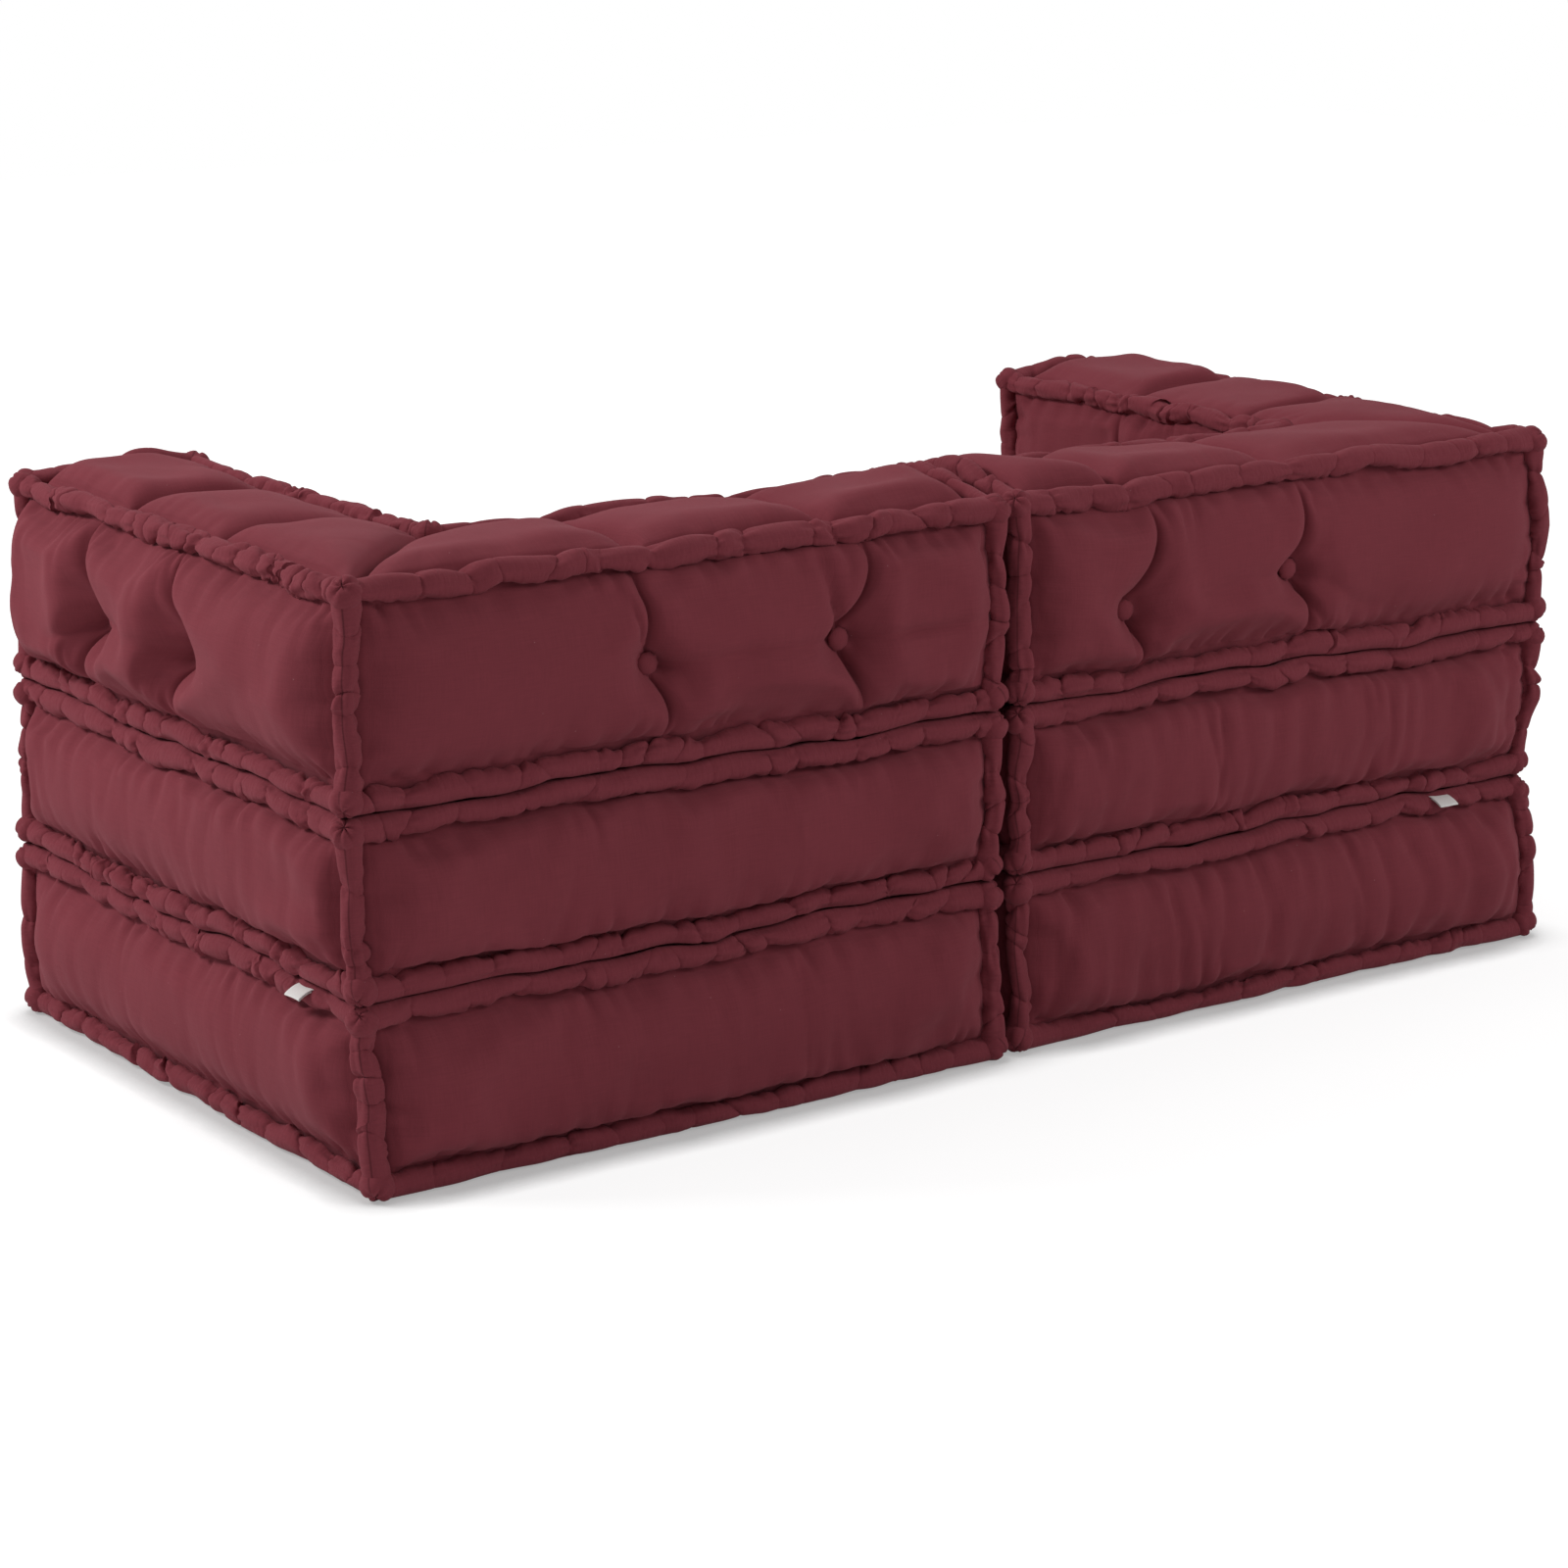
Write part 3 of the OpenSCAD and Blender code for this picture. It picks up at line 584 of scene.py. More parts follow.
def side_bulge(face, t, v, s, detailed):
    """How far a side panel stands out past the middles of its rolls.

    Its full swell, times plump() of the height share v and puff() of the distance from the upright
    rolls, less the valley along each tuft's crease and the tuft's round dimple. The detailed form
    also has the dark lines, the short creases and the gathers beside the rolls.
    """
    length, height, swell, seed = face["length"], face["height"], face["swell"], face["seed"]
    z = v * height
    room = puff(t / face["ease"]) * puff((length - t) / face["ease"]) * plump(v, face["full"])
    out = swell * room + room * lumps(t, 1.3 * z, seed, *SIDE_LUMPS)
    tufts = [(np.abs(t - tuft["at"]), z - tuft["z"]) for tuft in face["tufts"]]
    for away, up in tufts:
        lift = bell(up, VALLEY_REACH)
        half_width = mix(VALLEY_HALF_WIDTH, face["dent"], lift)
        out -= swell * room * mix(face["crease"], VALLEY_SHARE, lift) * (1 - puff(away / half_width))
    dimple = s["tuft_rest"] - s["sink"] if face["outer"] else s["inner_tuft_rest"]
    for away, up in tufts:
        out = mix(out, dimple, bell(np.hypot(away, up), face["pocket"] * s["dimple_radius"], DIMPLE_POWER))
    if not detailed:
        return out
    quiet = 1.0
    for away, up in tufts:
        near = np.hypot(away, up)
        out -= face["fine"] * room * bell(away, CREASE_LINE, CREASE_POWER) * (1 - bell(near, CREASE_LINE_END))
        out -= MOAT_DEPTH * bell(near - MOAT_RADIUS, MOAT_WIDTH)
        quiet = quiet * (1 - QUIET_SHARE * bell(near, QUIET_RADIUS))
    for line, width, depth, fade in face["lines"]:
        out -= GROOVE_GAIN * room * groove(t, z, line, width, depth, fade)
    gather, reach, end = face["gather"], face["reach"], face["pleat_end"]
    for along, away, run, number, spacing, amount, far in (
        (t, height - z, length, 1, gather, face["pleat_top"], reach),
        (t, z, length, 2, gather, face["pleat_low"], reach),
        (t, height - z, length, 5, SCALLOP_SPACING, SCALLOP_DEPTH, SCALLOP_REACH),
        (t, z, length, 6, SCALLOP_SPACING, SCALLOP_DEPTH, SCALLOP_REACH),
        (z, t, height, 3, END_SPACING, end, END_REACH),
        (z, length - t, height, 4, END_SPACING, end, END_REACH),
    ):
        out += room ** 0.22 * quiet * pleats(along, away, run, seed + number, spacing, amount, far)
    return out


def bend_columns(face, t, z):
    """Moves a side's columns along it, so that each tuft's column follows its curved crease."""
    moved = t
    for tuft in face["tufts"]:
        offset = np.interp(z, between(tuft["curve_z"], 6, 0), between(np.array(tuft["curve"], float), 6, 0))
        moved = moved + offset * bell(t - tuft["at"], BEND_REACH)
    return moved


def side_held(face, t, z):
    """How firmly the cloth is held: fully close to a tuft, and partly along the tuft's crease."""
    held = np.full(np.shape(t), face["hold"])
    for tuft in face["tufts"]:
        near = np.hypot(t - tuft["at"], z - tuft["z"])
        partly = HELD_SHARE * bell(t - tuft["at"], HELD_WIDTH)
        held = np.maximum(held, np.where(near < HELD_RADIUS, 1.0, partly))
    return held


# A plain side panel: how far from the upright rolls it swells fully and how full its section is, its
# creases' depth, width and dark line, its dimples' size, and its gathers' spacing, depths and reach
PLAIN_SIDE = {
    "ease": 78.0, "full": 2.5, "crease": 0.35, "dent": 70.0, "fine": 3.0, "pocket": 0.72,
    "gather": 27.0, "pleat_top": 2.8, "pleat_low": 2.8, "pleat_end": 9.0, "reach": 26.0,
    "tufts": (), "lines": (), "outer": True, "hold": 0.0,
}
# Outward direction of each kind of side, and the direction in which its own measure runs
FACING = {
    "arm": ((1, 0), (0, 1)), "rear": ((0, 1), (-1, 0)),
    "meet": ((-1, 0), (0, -1)), "front": ((0, -1), (1, 0)),
}


def side_face(facing, length, height, swell, seed, **more):
    """A side panel's place, size and finish."""
    out, run = FACING[facing]
    return {**PLAIN_SIDE, "out": out, "run": run, "length": length, "height": height, "swell": swell,
            "seed": seed, **more}


def wrap_side(faces, rim_xy, outward, owner, along, rolls, step, times, s, detailed):
    """Rows of side points between the heights of the two rolls, and how firmly each is held.

    Each rim point moves out from its roll by its face's bulge, and along its face with the bent
    columns. A row behind the lower roll comes first and one behind the upper roll last.
    """
    low, top = rolls
    v = side_rows(step, faces[0]["height"], times)
    rows = np.zeros((len(v), len(rim_xy), 3))
    held = np.ones(rows.shape[:2])
    tuck = np.array(rim_xy, float)
    for number, face in enumerate(faces):
        mine = owner == number
        t = np.broadcast_to(along[mine], (len(v), mine.sum()))
        vv = np.broadcast_to(v[:, None], t.shape)
        out = side_bulge(face, t, vv, s, detailed)
        ends = np.clip(np.minimum(t, face["length"] - t) / BEND_END, 0, 1)
        slide = (bend_columns(face, t, vv * face["height"]) - t) * ends
        held[:, mine] = side_held(face, t, vv * face["height"])
        for axis in (0, 1):
            rows[:, mine, axis] = rim_xy[mine, axis] + face["out"][axis] * (s["edge"] + out) \
                + face["run"][axis] * slide
        tuck[mine] += np.asarray(face["out"], float) * (s["edge"] - s["tuck"])
    corner = owner < 0
    tuck[corner] += outward[corner] * (s["edge"] - s["tuck"])
    rows[:, corner, :2] = tuck[corner]
    rows[:, :, 2] = mix(low + s["seam"], top - s["seam"], v)[:, None]
    held[[0, -1]] = 1.0
    ends = [np.concatenate([tuck, np.full((len(tuck), 1), z)], -1)[None]
            for z in (low + s["tuck"], top - s["tuck"])]
    return np.concatenate([ends[0], rows, ends[1]]), np.pad(held, ((1, 1), (0, 0)), constant_values=1.0)


def pouf_tuft_places(s):
    """Middles of the two by two tufts of a base or seat cushion."""
    c = s["frame_crease"]
    xs = [mix(c, s["width"] - c, k / 3) for k in (1, 2)]
    ys = [mix(c, 2 * s["half_depth"] - c, k / 3) - s["half_depth"] for k in (1, 2)]
    return xs, ys


# How far from a roll, and from a crease between tufts, a top panel's puffs are full
RIM_PUFF, CREASE_PUFF = 95.0, 80.0


def puffs(places, knots, crease):
    """A row of puffs between knots: 0 at the outer knots, with creases of the given share at the others."""
    share = np.ones_like(places)
    for n, k in enumerate(knots):
        rim = n in (0, len(knots) - 1)
        deep, far = (1.0, RIM_PUFF) if rim else (crease, CREASE_PUFF)
        share = share * (1 - deep * (1 - puff(np.abs(places - k) / far)))
    return share


def rim_held(shape):
    """1 along the border of a grid and 0 inside."""
    held = np.ones(shape)
    held[1:-1, 1:-1] = 0.0
    return held


def seat_covered(x, y, s):
    """1 where the back and arm cushion lies on the seat and 0 where its top is free, with a soft step."""
    foot, step = s["back_thickness"] + 26.0, 14.0
    return np.maximum(smooth((x - (s["width"] - foot)) / step + 1),
                      smooth((y - (s["half_depth"] - foot)) / step + 1))


# Depth of the gathers beside the horizontal rolls of a base or seat cushion's arm side and rear side
POUF_GATHERS = {
    ("right", "base"): (4.6, 4.6), ("right", "seat"): (4.4, 4.0),
    ("left", "base"): (4.4, 9.0), ("left", "seat"): (4.0, 6.0),
}
# A pressed top stays this far under the plane it rests against
PRESSED_GAP = 0.4
POUF_SEEDS = {"base": 10, "seat": 40}
# Depth of the creases between a base or seat cushion's puffs, and how near a tuft its cloth is held
POUF_CREASE, POUF_HELD = 0.6, 12.0
# How far from a seat's rolls its lumps and its gathers are full, and the gathers beside its front and
# its meeting side: spacing, depth and reach
SEAT_LUMP_EDGE, SEAT_GATHER_EDGE = 60.0, 30.0
FRONT_GATHERS, MEET_GATHERS = (30, 2.2, 34), (30, 2.0, 30)


def pouf_arrays(side, tier, s, step, times, detailed):
    """Top grid, bottom grid and side rows of a base or seat cushion, with how firmly each point is held."""
    z0, h = tier_span(tier)
    e, r, wide, hd = s["edge"], s["roll_radius"], s["width"], s["half_depth"]
    seed = POUF_SEEDS[tier] + (0 if side == "right" else 100)
    tx, ty = pouf_tuft_places(s)
    kx, ky = [wide - e, tx[1], tx[0], e], [e - hd, ty[0], ty[1], hd - e]
    xs, ys = stations(kx, step, times), stations(ky, step, times)
    X, Y = np.meshgrid(xs, ys)
    top, low = z0 + h - r, z0 + r
    share = puffs(X, kx, POUF_CREASE) * puffs(Y, ky, POUF_CREASE)
    crown = s["top_lip"] + (s["top_crown"] - s["top_lip"]) * share
    near = np.min([np.hypot(X - a, Y - b) for a in tx for b in ty], axis=0)
    pull = bell(near, s["dimple_radius"], DIMPLE_POWER)
    under = np.minimum(crown, r - PRESSED_GAP)
    rise, held_top = under, np.ones(X.shape)
    if tier == "seat":
        # Under the back and the arm the top is pressed flat; the rest stands free
        rim = np.minimum(np.minimum(X - e, wide - e - X), np.minimum(Y + hd - e, hd - e - Y))
        covered = seat_covered(X, Y, s)
        free = crown + lumps(X, Y, seed + 9, *SEAT_LUMPS) * puff(rim / SEAT_LUMP_EDGE)
        if detailed:
            gathers = pleats(X, Y + hd - e, wide, seed + 5, *FRONT_GATHERS)
            gathers = gathers + pleats(Y + hd, X - e, 2 * hd, seed + 6, *MEET_GATHERS)
            free += puff(rim / SEAT_GATHER_EDGE) * gathers
        rise = mix(free, under, covered)
        held_top = np.maximum(np.maximum(rim_held(X.shape), covered > 0.02), near < POUF_HELD)
    top_grid = np.stack([X, Y, top + mix(rise, r - s["pouf_tuft_depth"], pull)], -1)
    low_grid = np.stack([X, Y, low - mix(under, r - s["pouf_tuft_depth"], pull)], -1)
    ns, nt = len(ys) - 1, len(xs) - 1
    i, j = rim_steps(ns, nt)
    rim_xy = np.stack([xs[j], ys[i]], -1)
    outward = np.stack([(j == 0) * 1.0 - (j == nt), (i == ns) * 1.0 - (i == 0)], -1)
    owner = np.select([np.abs(outward).sum(-1) == 2, j == 0, i == ns, j == nt], [-1, 0, 1, 2], 3)
    x, y = rim_xy.T
    along = np.select([owner == 0, owner == 1, owner == 2], [y + hd - e, wide - e - x, hd - e - y], x - e)
    height = top - low - 2 * s["seam"]
    long_x, long_y = wide - 2 * e, 2 * (hd - e)
    arm, rear = POUF_GATHERS[side, tier]
    faces = [
        side_face("arm", long_y, height, s["side_swell"], seed,
                  pleat_top=arm, pleat_low=arm, reach=56.0, gather=34.0),
        side_face("rear", long_x, height, 1.16 * s["side_swell"], seed + 1000, full=2.15, ease=104.0,
                  pleat_top=rear, pleat_low=rear, reach=52.0 if side == "right" else 92.0, gather=36.0),
        side_face("meet", long_y, height, s["joint_swell"], seed + 2000, hold=0.5),
        side_face("front", long_x, height, s["side_swell"], seed + 3000,
                  pleat_top=2.4, pleat_low=2.4, reach=36.0),
    ]
    rows, held_rows = wrap_side(faces, rim_xy, outward, owner, along, (low, top), step, times, s, detailed)
    return (top_grid, low_grid, rows), (held_top, np.ones(X.shape), held_rows)


def back_knots(side, s, edge):
    """Outer and inner points of the L at its ends, tufts and corner, edge inside its rolls' middles.

    Both runs go from the arm's front end to the corner and on to the back's free end.
    """
    wide, hd, thick = s["width"], s["half_depth"], s["back_thickness"]
    ys = (edge - hd, s["tuft_arm_end"] - hd, hd - s["tuft_arm_corner"])
    xs = (wide - s[f"tuft_{side}_corner"], s[f"tuft_{side}_end"], edge)
    return tuple(np.array([(x, at) for at in (*ys, y)] + [(at, y) for at in xs], float)
                 for x, y in ((wide - edge, hd - edge), (wide - thick + edge, hd - thick + edge)))


# Curves of the creases above and below each tuft: shares of the panel's height, and sideways offsets
# in millimetres along the face, which runs from the arm's front to the corner and on to the free end
CREASE_V = np.array((0, 18, 38, 60, 85, 105, 130, 150, 170)) / 170.0
CREASES = {
    "right": {
        "arm": [(-40, -42, -36, -18, 0, -6, -16, -22, -25), (-34, -38, -34, -16, 0, -8, -18, -24, -28)],
        "rear": [(16, 20, 16, 6, 0, -3, -7, -14, -18), (30, 24, 15, 6, 0, 9, 21, 27, 26)],
    },
    "left": {
        "arm": [(-16, -14, -8, -3, 0, 5, 8, 8, 6), (12, 14, 10, 4, 0, -5, -12, -15, -16)],
        "rear": [(-26, -24, -20, -9, 0, -8, -12, -12, -10), (-20, -18, -12, -6, 0, -14, -28, -32, -28)],
    },
}
INNER_CREASES = [(0, 3, 3, 1, 0, 2, 4, 4, 3), (2, 0, -2, 0, 0, -3, -5, -4, -4)]
# Short creases of the arm's side and of each back's rear: points, width, depth and fade. A point is a
# share of the way from the first tuft to the second, and millimetres from there along the face and up
SHORT_CREASES = {
    "arm": [
        (((0, 12, 4), (0.3, 0, 10), (0.6, 0, -2)), 9.0, 5.0, 1.0),
        (((0, -14, -6), (0, -55, -24), (0, -95, -30)), 8.0, 5.5, 1.0),
        (((0, 14, -14), (0, 34, -44), (0, 44, -76)), 8.0, 4.0, 1.0),
        (((1, -14, -4), (1, -60, 6), (1, -90, 4)), 9.0, 4.0, 1.0),
    ],
    "right": [
        (((0, 12, 0), (0.5, 0, 5), (1, -12, 2)), 6.0, 3.8, 0.3),
        (((1, 10, 3), (1, 85, 1), (1, 165, 3)), 3.6, 5.6, 0.35),
        (((1, -10, 12), (1, -30, 40), (1, -44, 80)), 4.5, 6.5, 0.3),
        (((1, -2, -18), (1, -6, -46), (1, -10, -74)), 5.0, 5.0, 0.7),
        (((0, -10, 26), (0, -17, 52), (0, -14, 70)), 4.0, 4.6, 0.9),
        (((0, 14, -4), (0, 48, -10), (0, 80, -8)), 8.0, 3.2, 1.0),
    ],
    "left": [
        (((0, 8, 4), (0.5, 0, -4), (1, -60, -2)), 12.0, 3.4, 1.0),
        (((1, -4, -14), (1, 14, -40), (1, 20, -78)), 5.0, 5.0, 0.9),
        (((0, 6, -20), (0, -10, -52), (0, -30, -84)), 5.0, 4.6, 0.9),
        (((0, -10, -8), (0, -60, -34), (0, -120, -50)), 12.0, 3.0, 1.0),
    ],
}
# Gathers of each arm's outer side
ARM_GATHERS = {
    "right": {"pleat_top": 6.0, "pleat_low": 4.6, "reach": 46.0, "gather": 28.0},
    "left": {"pleat_top": 4.4, "pleat_low": 3.6, "reach": 38.0, "gather": 25.0},
}


def back_faces(side, s, height):
    """The six sides of the L: outer arm, outer back, free end, inner back, inner arm and front end."""
    e, wide, hd, thick = s["edge"], s["width"], s["half_depth"], s["back_thickness"]
    knots, _ = back_knots(side, s, e)
    (arm_end, arm_corner), (back_corner, back_end) = knots[1:3, 1], knots[4:6, 0]
    tuft_z = s["tuft_height"] - s["roll_radius"] - s["seam"]

    def tufts(places, curves):
        return [{"at": at, "z": tuft_z, "curve_z": CREASE_V * height, "curve": curve}
                for at, curve in zip(places, curves)]

    def lines(places, which):
        return [([(mix(*places, share) + along, tuft_z + up) for share, along, up in points], *finish)
                for points, *finish in SHORT_CREASES[which]]

    outer_arm = arm_end + hd - e, arm_corner + hd - e
    outer_back = wide - e - back_corner, wide - e - back_end
    inner_arm = hd - thick - arm_corner, hd - thick - arm_end
    inner_back = back_end - e, back_corner - e
    seed = 300 if side == "right" else 500
    end = thick - 2 * e
    return [
        side_face("arm", 2 * (hd - e), height, 1.36 * s["side_swell"], seed,
                  tufts=tufts(outer_arm, CREASES[side]["arm"]), lines=lines(outer_arm, "arm"),
                  crease=0.74, dent=92.0, pocket=0.9, fine=2.0, **ARM_GATHERS[side]),
        side_face("rear", wide - 2 * e, height, 1.12 * s["side_swell"], seed + 1, full=2.2, ease=96.0,
                  tufts=tufts(outer_back, CREASES[side]["rear"]), lines=lines(outer_back, side),
                  crease=0.40, dent=58.0, fine=5.5, pleat_top=3.0, pleat_low=3.0, reach=22.0, gather=34.0),
        side_face("meet", end, height, s["joint_swell"], seed + 2, ease=60.0, hold=0.5),
        side_face("front", wide - thick - e, height, s["inner_swell"], seed + 3, outer=False, crease=0.4,
                  tufts=tufts(inner_back, INNER_CREASES), pleat_top=2.8, pleat_low=2.2, reach=40.0),
        side_face("meet", 2 * hd - thick - e, height, s["inner_swell"], seed + 4, outer=False, crease=0.4,
                  tufts=tufts(inner_arm, INNER_CREASES),
                  pleat_top=3.6, pleat_low=2.6, reach=48.0, gather=30.0),
        side_face("front", end, height, s["side_swell"], seed + 5, ease=60.0, pleat_top=2.4, pleat_low=2.0),
    ]


# How deep the crease at the corner of a back's top is, the others being 1, and the dark lines in them
CORNER_CREASE = 0.86
TOP_LINE_DEPTH, TOP_LINE_WIDTH = 8.0, 5.5
# A back's top: its crown against the others', and the distances from the outer roll, the inner roll
# and each end within which it, its lumps, its lines and its gathers grow to the full
BACK_FULLER, OUTER_RISE, INNER_RISE = 1.05, 46.0, 104.0
LUMP_EDGE, LUMP_END, TOP_LINE_EDGE, TOP_GATHER_EDGE = 40.0, 60.0, 26.0, 14.0
# Its gathers beside the outer and the inner roll: spacing, depth and reach
OUTER_GATHERS, INNER_GATHERS = (28.0, 2.8, 22.0), (30.0, 2.8, 24.0)
# The free ends of the inner faces swell fully this far from the inner corner
INNER_EASE = 60.0


def back_crown(s, plan, run, stops, across, seed, detailed):
    """Height of the L's top panel above its rolls' middles: puffs between creases at the stops of the run.

    It rises sooner from the outer roll than from the inner one, and lumps lie over it. The detailed
    form has a dark line in each crease and gathers beside the rolls.
    """
    wide = across[-1]
    R = np.broadcast_to(run[:, None], plan.shape[:2])
    A = np.broadcast_to(across[None], R.shape)
    left = run[-1] - R
    rim = np.minimum(A, wide - A)
    share = puff(R / RIM_PUFF) * puff(left / RIM_PUFF)
    for n, stop in enumerate(stops):
        deep = CORNER_CREASE if n == 2 else 1.0
        share = share * (1 - deep * (1 - puff(np.abs(R - stop) / CREASE_PUFF)))
    crown = BACK_FULLER * (s["top_crown"] - s["top_lip"]) * share
    crown = s["top_lip"] + crown * puff(A / OUTER_RISE) * puff((wide - A) / INNER_RISE)
    uneven = lumps(plan[..., 0], plan[..., 1], seed, *BACK_LUMPS)
    crown += puff(rim / LUMP_EDGE) * puff(R / LUMP_END) * puff(left / LUMP_END) * uneven
    if detailed:
        for stop in stops:
            line = bell(np.abs(R - stop), TOP_LINE_WIDTH, CREASE_POWER)
            crown -= TOP_LINE_DEPTH * puff(rim / TOP_LINE_EDGE) * line
        gathers = pleats(R, A, run[-1], seed + 1, *OUTER_GATHERS)
        gathers = gathers + pleats(R, wide - A, run[-1], seed + 2, *INNER_GATHERS)
        crown += puff(rim / TOP_GATHER_EDGE) * (0.4 + 0.6 * share) * gathers
    return crown


def back_arrays(side, s, step, times, detailed):
    """Grids of the L-shaped back and arm cushion, as pouf_arrays() gives them."""
    z0, h = tier_span("back")
    e, r, hd, thick = s["edge"], s["roll_radius"], s["half_depth"], s["back_thickness"]
    ko, ki = back_knots(side, s, e)
    # The inner run goes along the middles of its rolls, so that it ends in the inner corner
    km = ki - np.array([(e if k <= 3 else 0, e if k >= 3 else 0) for k in range(7)])
    lengths = (np.hypot(*np.diff(ko, axis=0).T) + np.hypot(*np.diff(ki, axis=0).T)) / 2
    counts = [max(8, int(round(n / step))) * times for n in lengths]
    outer, inner, inner_mid = knotted(ko, counts), knotted(ki, counts), knotted(km, counts)
    turn, ns = sum(counts[:3]), len(outer) - 1
    wide = thick - 2 * e
    across = stations([0.0, 1.0], step / wide, times, 0.5)
    nt = len(across) - 1
    plan = outer[:, None] + (inner - outer)[:, None] * across[None, :, None]
    middle = (outer + inner) / 2
    run = np.concatenate([[0.0], np.cumsum(np.hypot(*np.diff(middle, axis=0).T))])
    stops = run[np.cumsum(counts)[:-1]]
    crown = back_crown(s, plan, run, stops, across * wide, 330 if side == "right" else 530, detailed)
    top, low = z0 + h - r, z0 + r
    top_grid = np.concatenate([plan, (top + crown)[..., None]], -1)
    low_grid = np.concatenate([plan, (low - np.clip(crown, 0, r - PRESSED_GAP))[..., None]], -1)
    i, j = rim_steps(ns, nt)
    rim_xy = plan[i, j]
    base = rim_xy.copy()
    on_inner = (j == nt) & (i > 0) & (i < ns)
    base[on_inner] = inner_mid[i[on_inner]]
    outward = np.stack([
        1.0 * ((j == 0) & (i <= turn)) - ((j == nt) & (i < turn)) - (i == ns),
        1.0 * ((j == 0) & (i >= turn)) - ((j == nt) & (i > turn)) - (i == 0)], -1)
    between_rolls = (j > 0) & (j < nt)
    before, after = (i > 0) & (i < turn), (i > turn) & (i < ns)
    owner = np.select([(j == 0) & before, (j == 0) & after, (i == ns) & between_rolls,
                       (j == nt) & after, (j == nt) & before, (i == 0) & between_rolls], range(6), -1)
    x, y = rim_xy.T
    along = np.select([owner == number for number in range(6)], [
        y + hd - e, s["width"] - e - x, hd - e - y,
        base[:, 0] - e, hd - thick - base[:, 1], x - (s["width"] - thick + e)], 0.0)
    # Inner rim points stand at the middle of their roll, so they start one edge width back
    start = base.copy()
    start[owner == 3, 1] += e
    start[owner == 4, 0] += e
    faces = back_faces(side, s, top - low - 2 * s["seam"])
    rows, held_rows = wrap_side(faces, start, outward, owner, along, (low, top), step, times, s, detailed)
    at_turn = np.flatnonzero((j == nt) & (i == turn))[0]
    rows[1:-1, at_turn, :2] = inner_mid[turn]
    rows[[0, -1], at_turn, :2] = inner_mid[turn] + s["tuck"]
    for number, axis in ((3, 1), (4, 0)):
        mine = owner == number
        ease = np.minimum(1.0, np.abs(base[mine] - inner_mid[turn]).max(-1) / INNER_EASE)
        line = base[mine, axis]
        rows[1:-1, mine, axis] = line + (rows[1:-1, mine, axis] - line) * ease
    return (top_grid, low_grid, rows), (rim_held(plan.shape[:2]), np.ones(plan.shape[:2]), held_rows)


# Distance between the points that the cloth is simulated on, and how many times finer a cover is
SIM_STEP = {"base": 9.0, "seat": 9.0, "back": 7.2}
FINER = 2
SIM_FRAMES = 20
# No point moves further than this, in millimetres, and one held more firmly than this stays
SIM_LIMIT, SIM_STAYS = 8.0, 0.99
# How often the movement of a top and of the sides is softened
SOFTEN_TOP, SOFTEN_SIDES = 10, 2
CLOTH_SETTINGS = {
    "vertex_group_mass": "held", "use_pressure": True, "uniform_pressure_force": 4.0, "shrink_min": -0.025,
    "quality": 6, "mass": 0.2, "bending_stiffness": 0.2,
}


def cover_arrays(side, tier, s, times, detailed):
    """Grids of one cover: its simulated form has times = 1, its finished form is divided further."""
    if tier == "back":
        return back_arrays(side, s, SIM_STEP[tier], times, detailed)
    return pouf_arrays(side, tier, s, SIM_STEP[tier], times, detailed)


def hang_cloth(arrays, held):
    """A cloth object for one cover, with its points, and how firmly each of them is held."""
    points, faces, _ = skin(*arrays)
    mesh = bpy.data.meshes.new("swelling")
    mesh.from_pydata((points / 1000.0).tolist(), [], faces.tolist())
    piece = bpy.data.objects.new("swelling", mesh)
    bpy.context.scene.collection.objects.link(piece)
    weights = np.round(np.concatenate([h.ravel() for h in held]) * 10) / 10
    group = piece.vertex_groups.new(name="held")
    for weight in np.unique(weights):
        group.add(np.flatnonzero(weights == weight).tolist(), float(weight), "REPLACE")
    cloth = piece.modifiers.new("cloth", "CLOTH")
    for name, value in CLOTH_SETTINGS.items():
        setattr(cloth.settings, name, value)
    cloth.settings.effector_weights.gravity = 0.0
    cloth.collision_settings.use_collision = False
    cloth.point_cache.frame_start, cloth.point_cache.frame_end = 1, SIM_FRAMES
    return piece, points, weights


def swell_covers(s):
    """Blows all six covers up with Blender's cloth and gives each grid's movement.

    The cloth is a little larger than its pattern, is held at the rolls and tufts and partly along the
    creases, and is under pressure without gravity, so it puffs out and gathers where it is held. A
    point's movement is limited by the hyperbolic tangent of its length.
    """
    made = []
    for cushion in CUSHIONS:
        arrays, held = cover_arrays(*cushion, s, 1, False)
        made.append((cushion, arrays, *hang_cloth(arrays, held)))
    for frame in range(1, SIM_FRAMES + 1):
        bpy.context.scene.frame_set(frame)
    graph = bpy.context.evaluated_depsgraph_get()
    moves = {}
    for cushion, arrays, piece, points, weights in made:
        settled = np.empty(len(points) * 3)
        piece.evaluated_get(graph).data.vertices.foreach_get("co", settled)
        move = settled.reshape(-1, 3) * 1000.0 - points
        size = np.linalg.norm(move, axis=-1, keepdims=True)
        limit = SIM_LIMIT * np.tanh(size / SIM_LIMIT) / np.maximum(size, 1e-6)
        move = move * limit * (weights < SIM_STAYS)[:, None]
        first = np.cumsum([0] + [grid[..., 0].size for grid in arrays])
        moves[cushion] = [move[a:b].reshape(grid.shape) for a, b, grid in zip(first[:-1], first[1:], arrays)]
    for _, _, piece, *_ in made:
        mesh = piece.data
        bpy.data.objects.remove(piece)
        bpy.data.meshes.remove(mesh)
    bpy.context.scene.frame_set(1)
    return moves


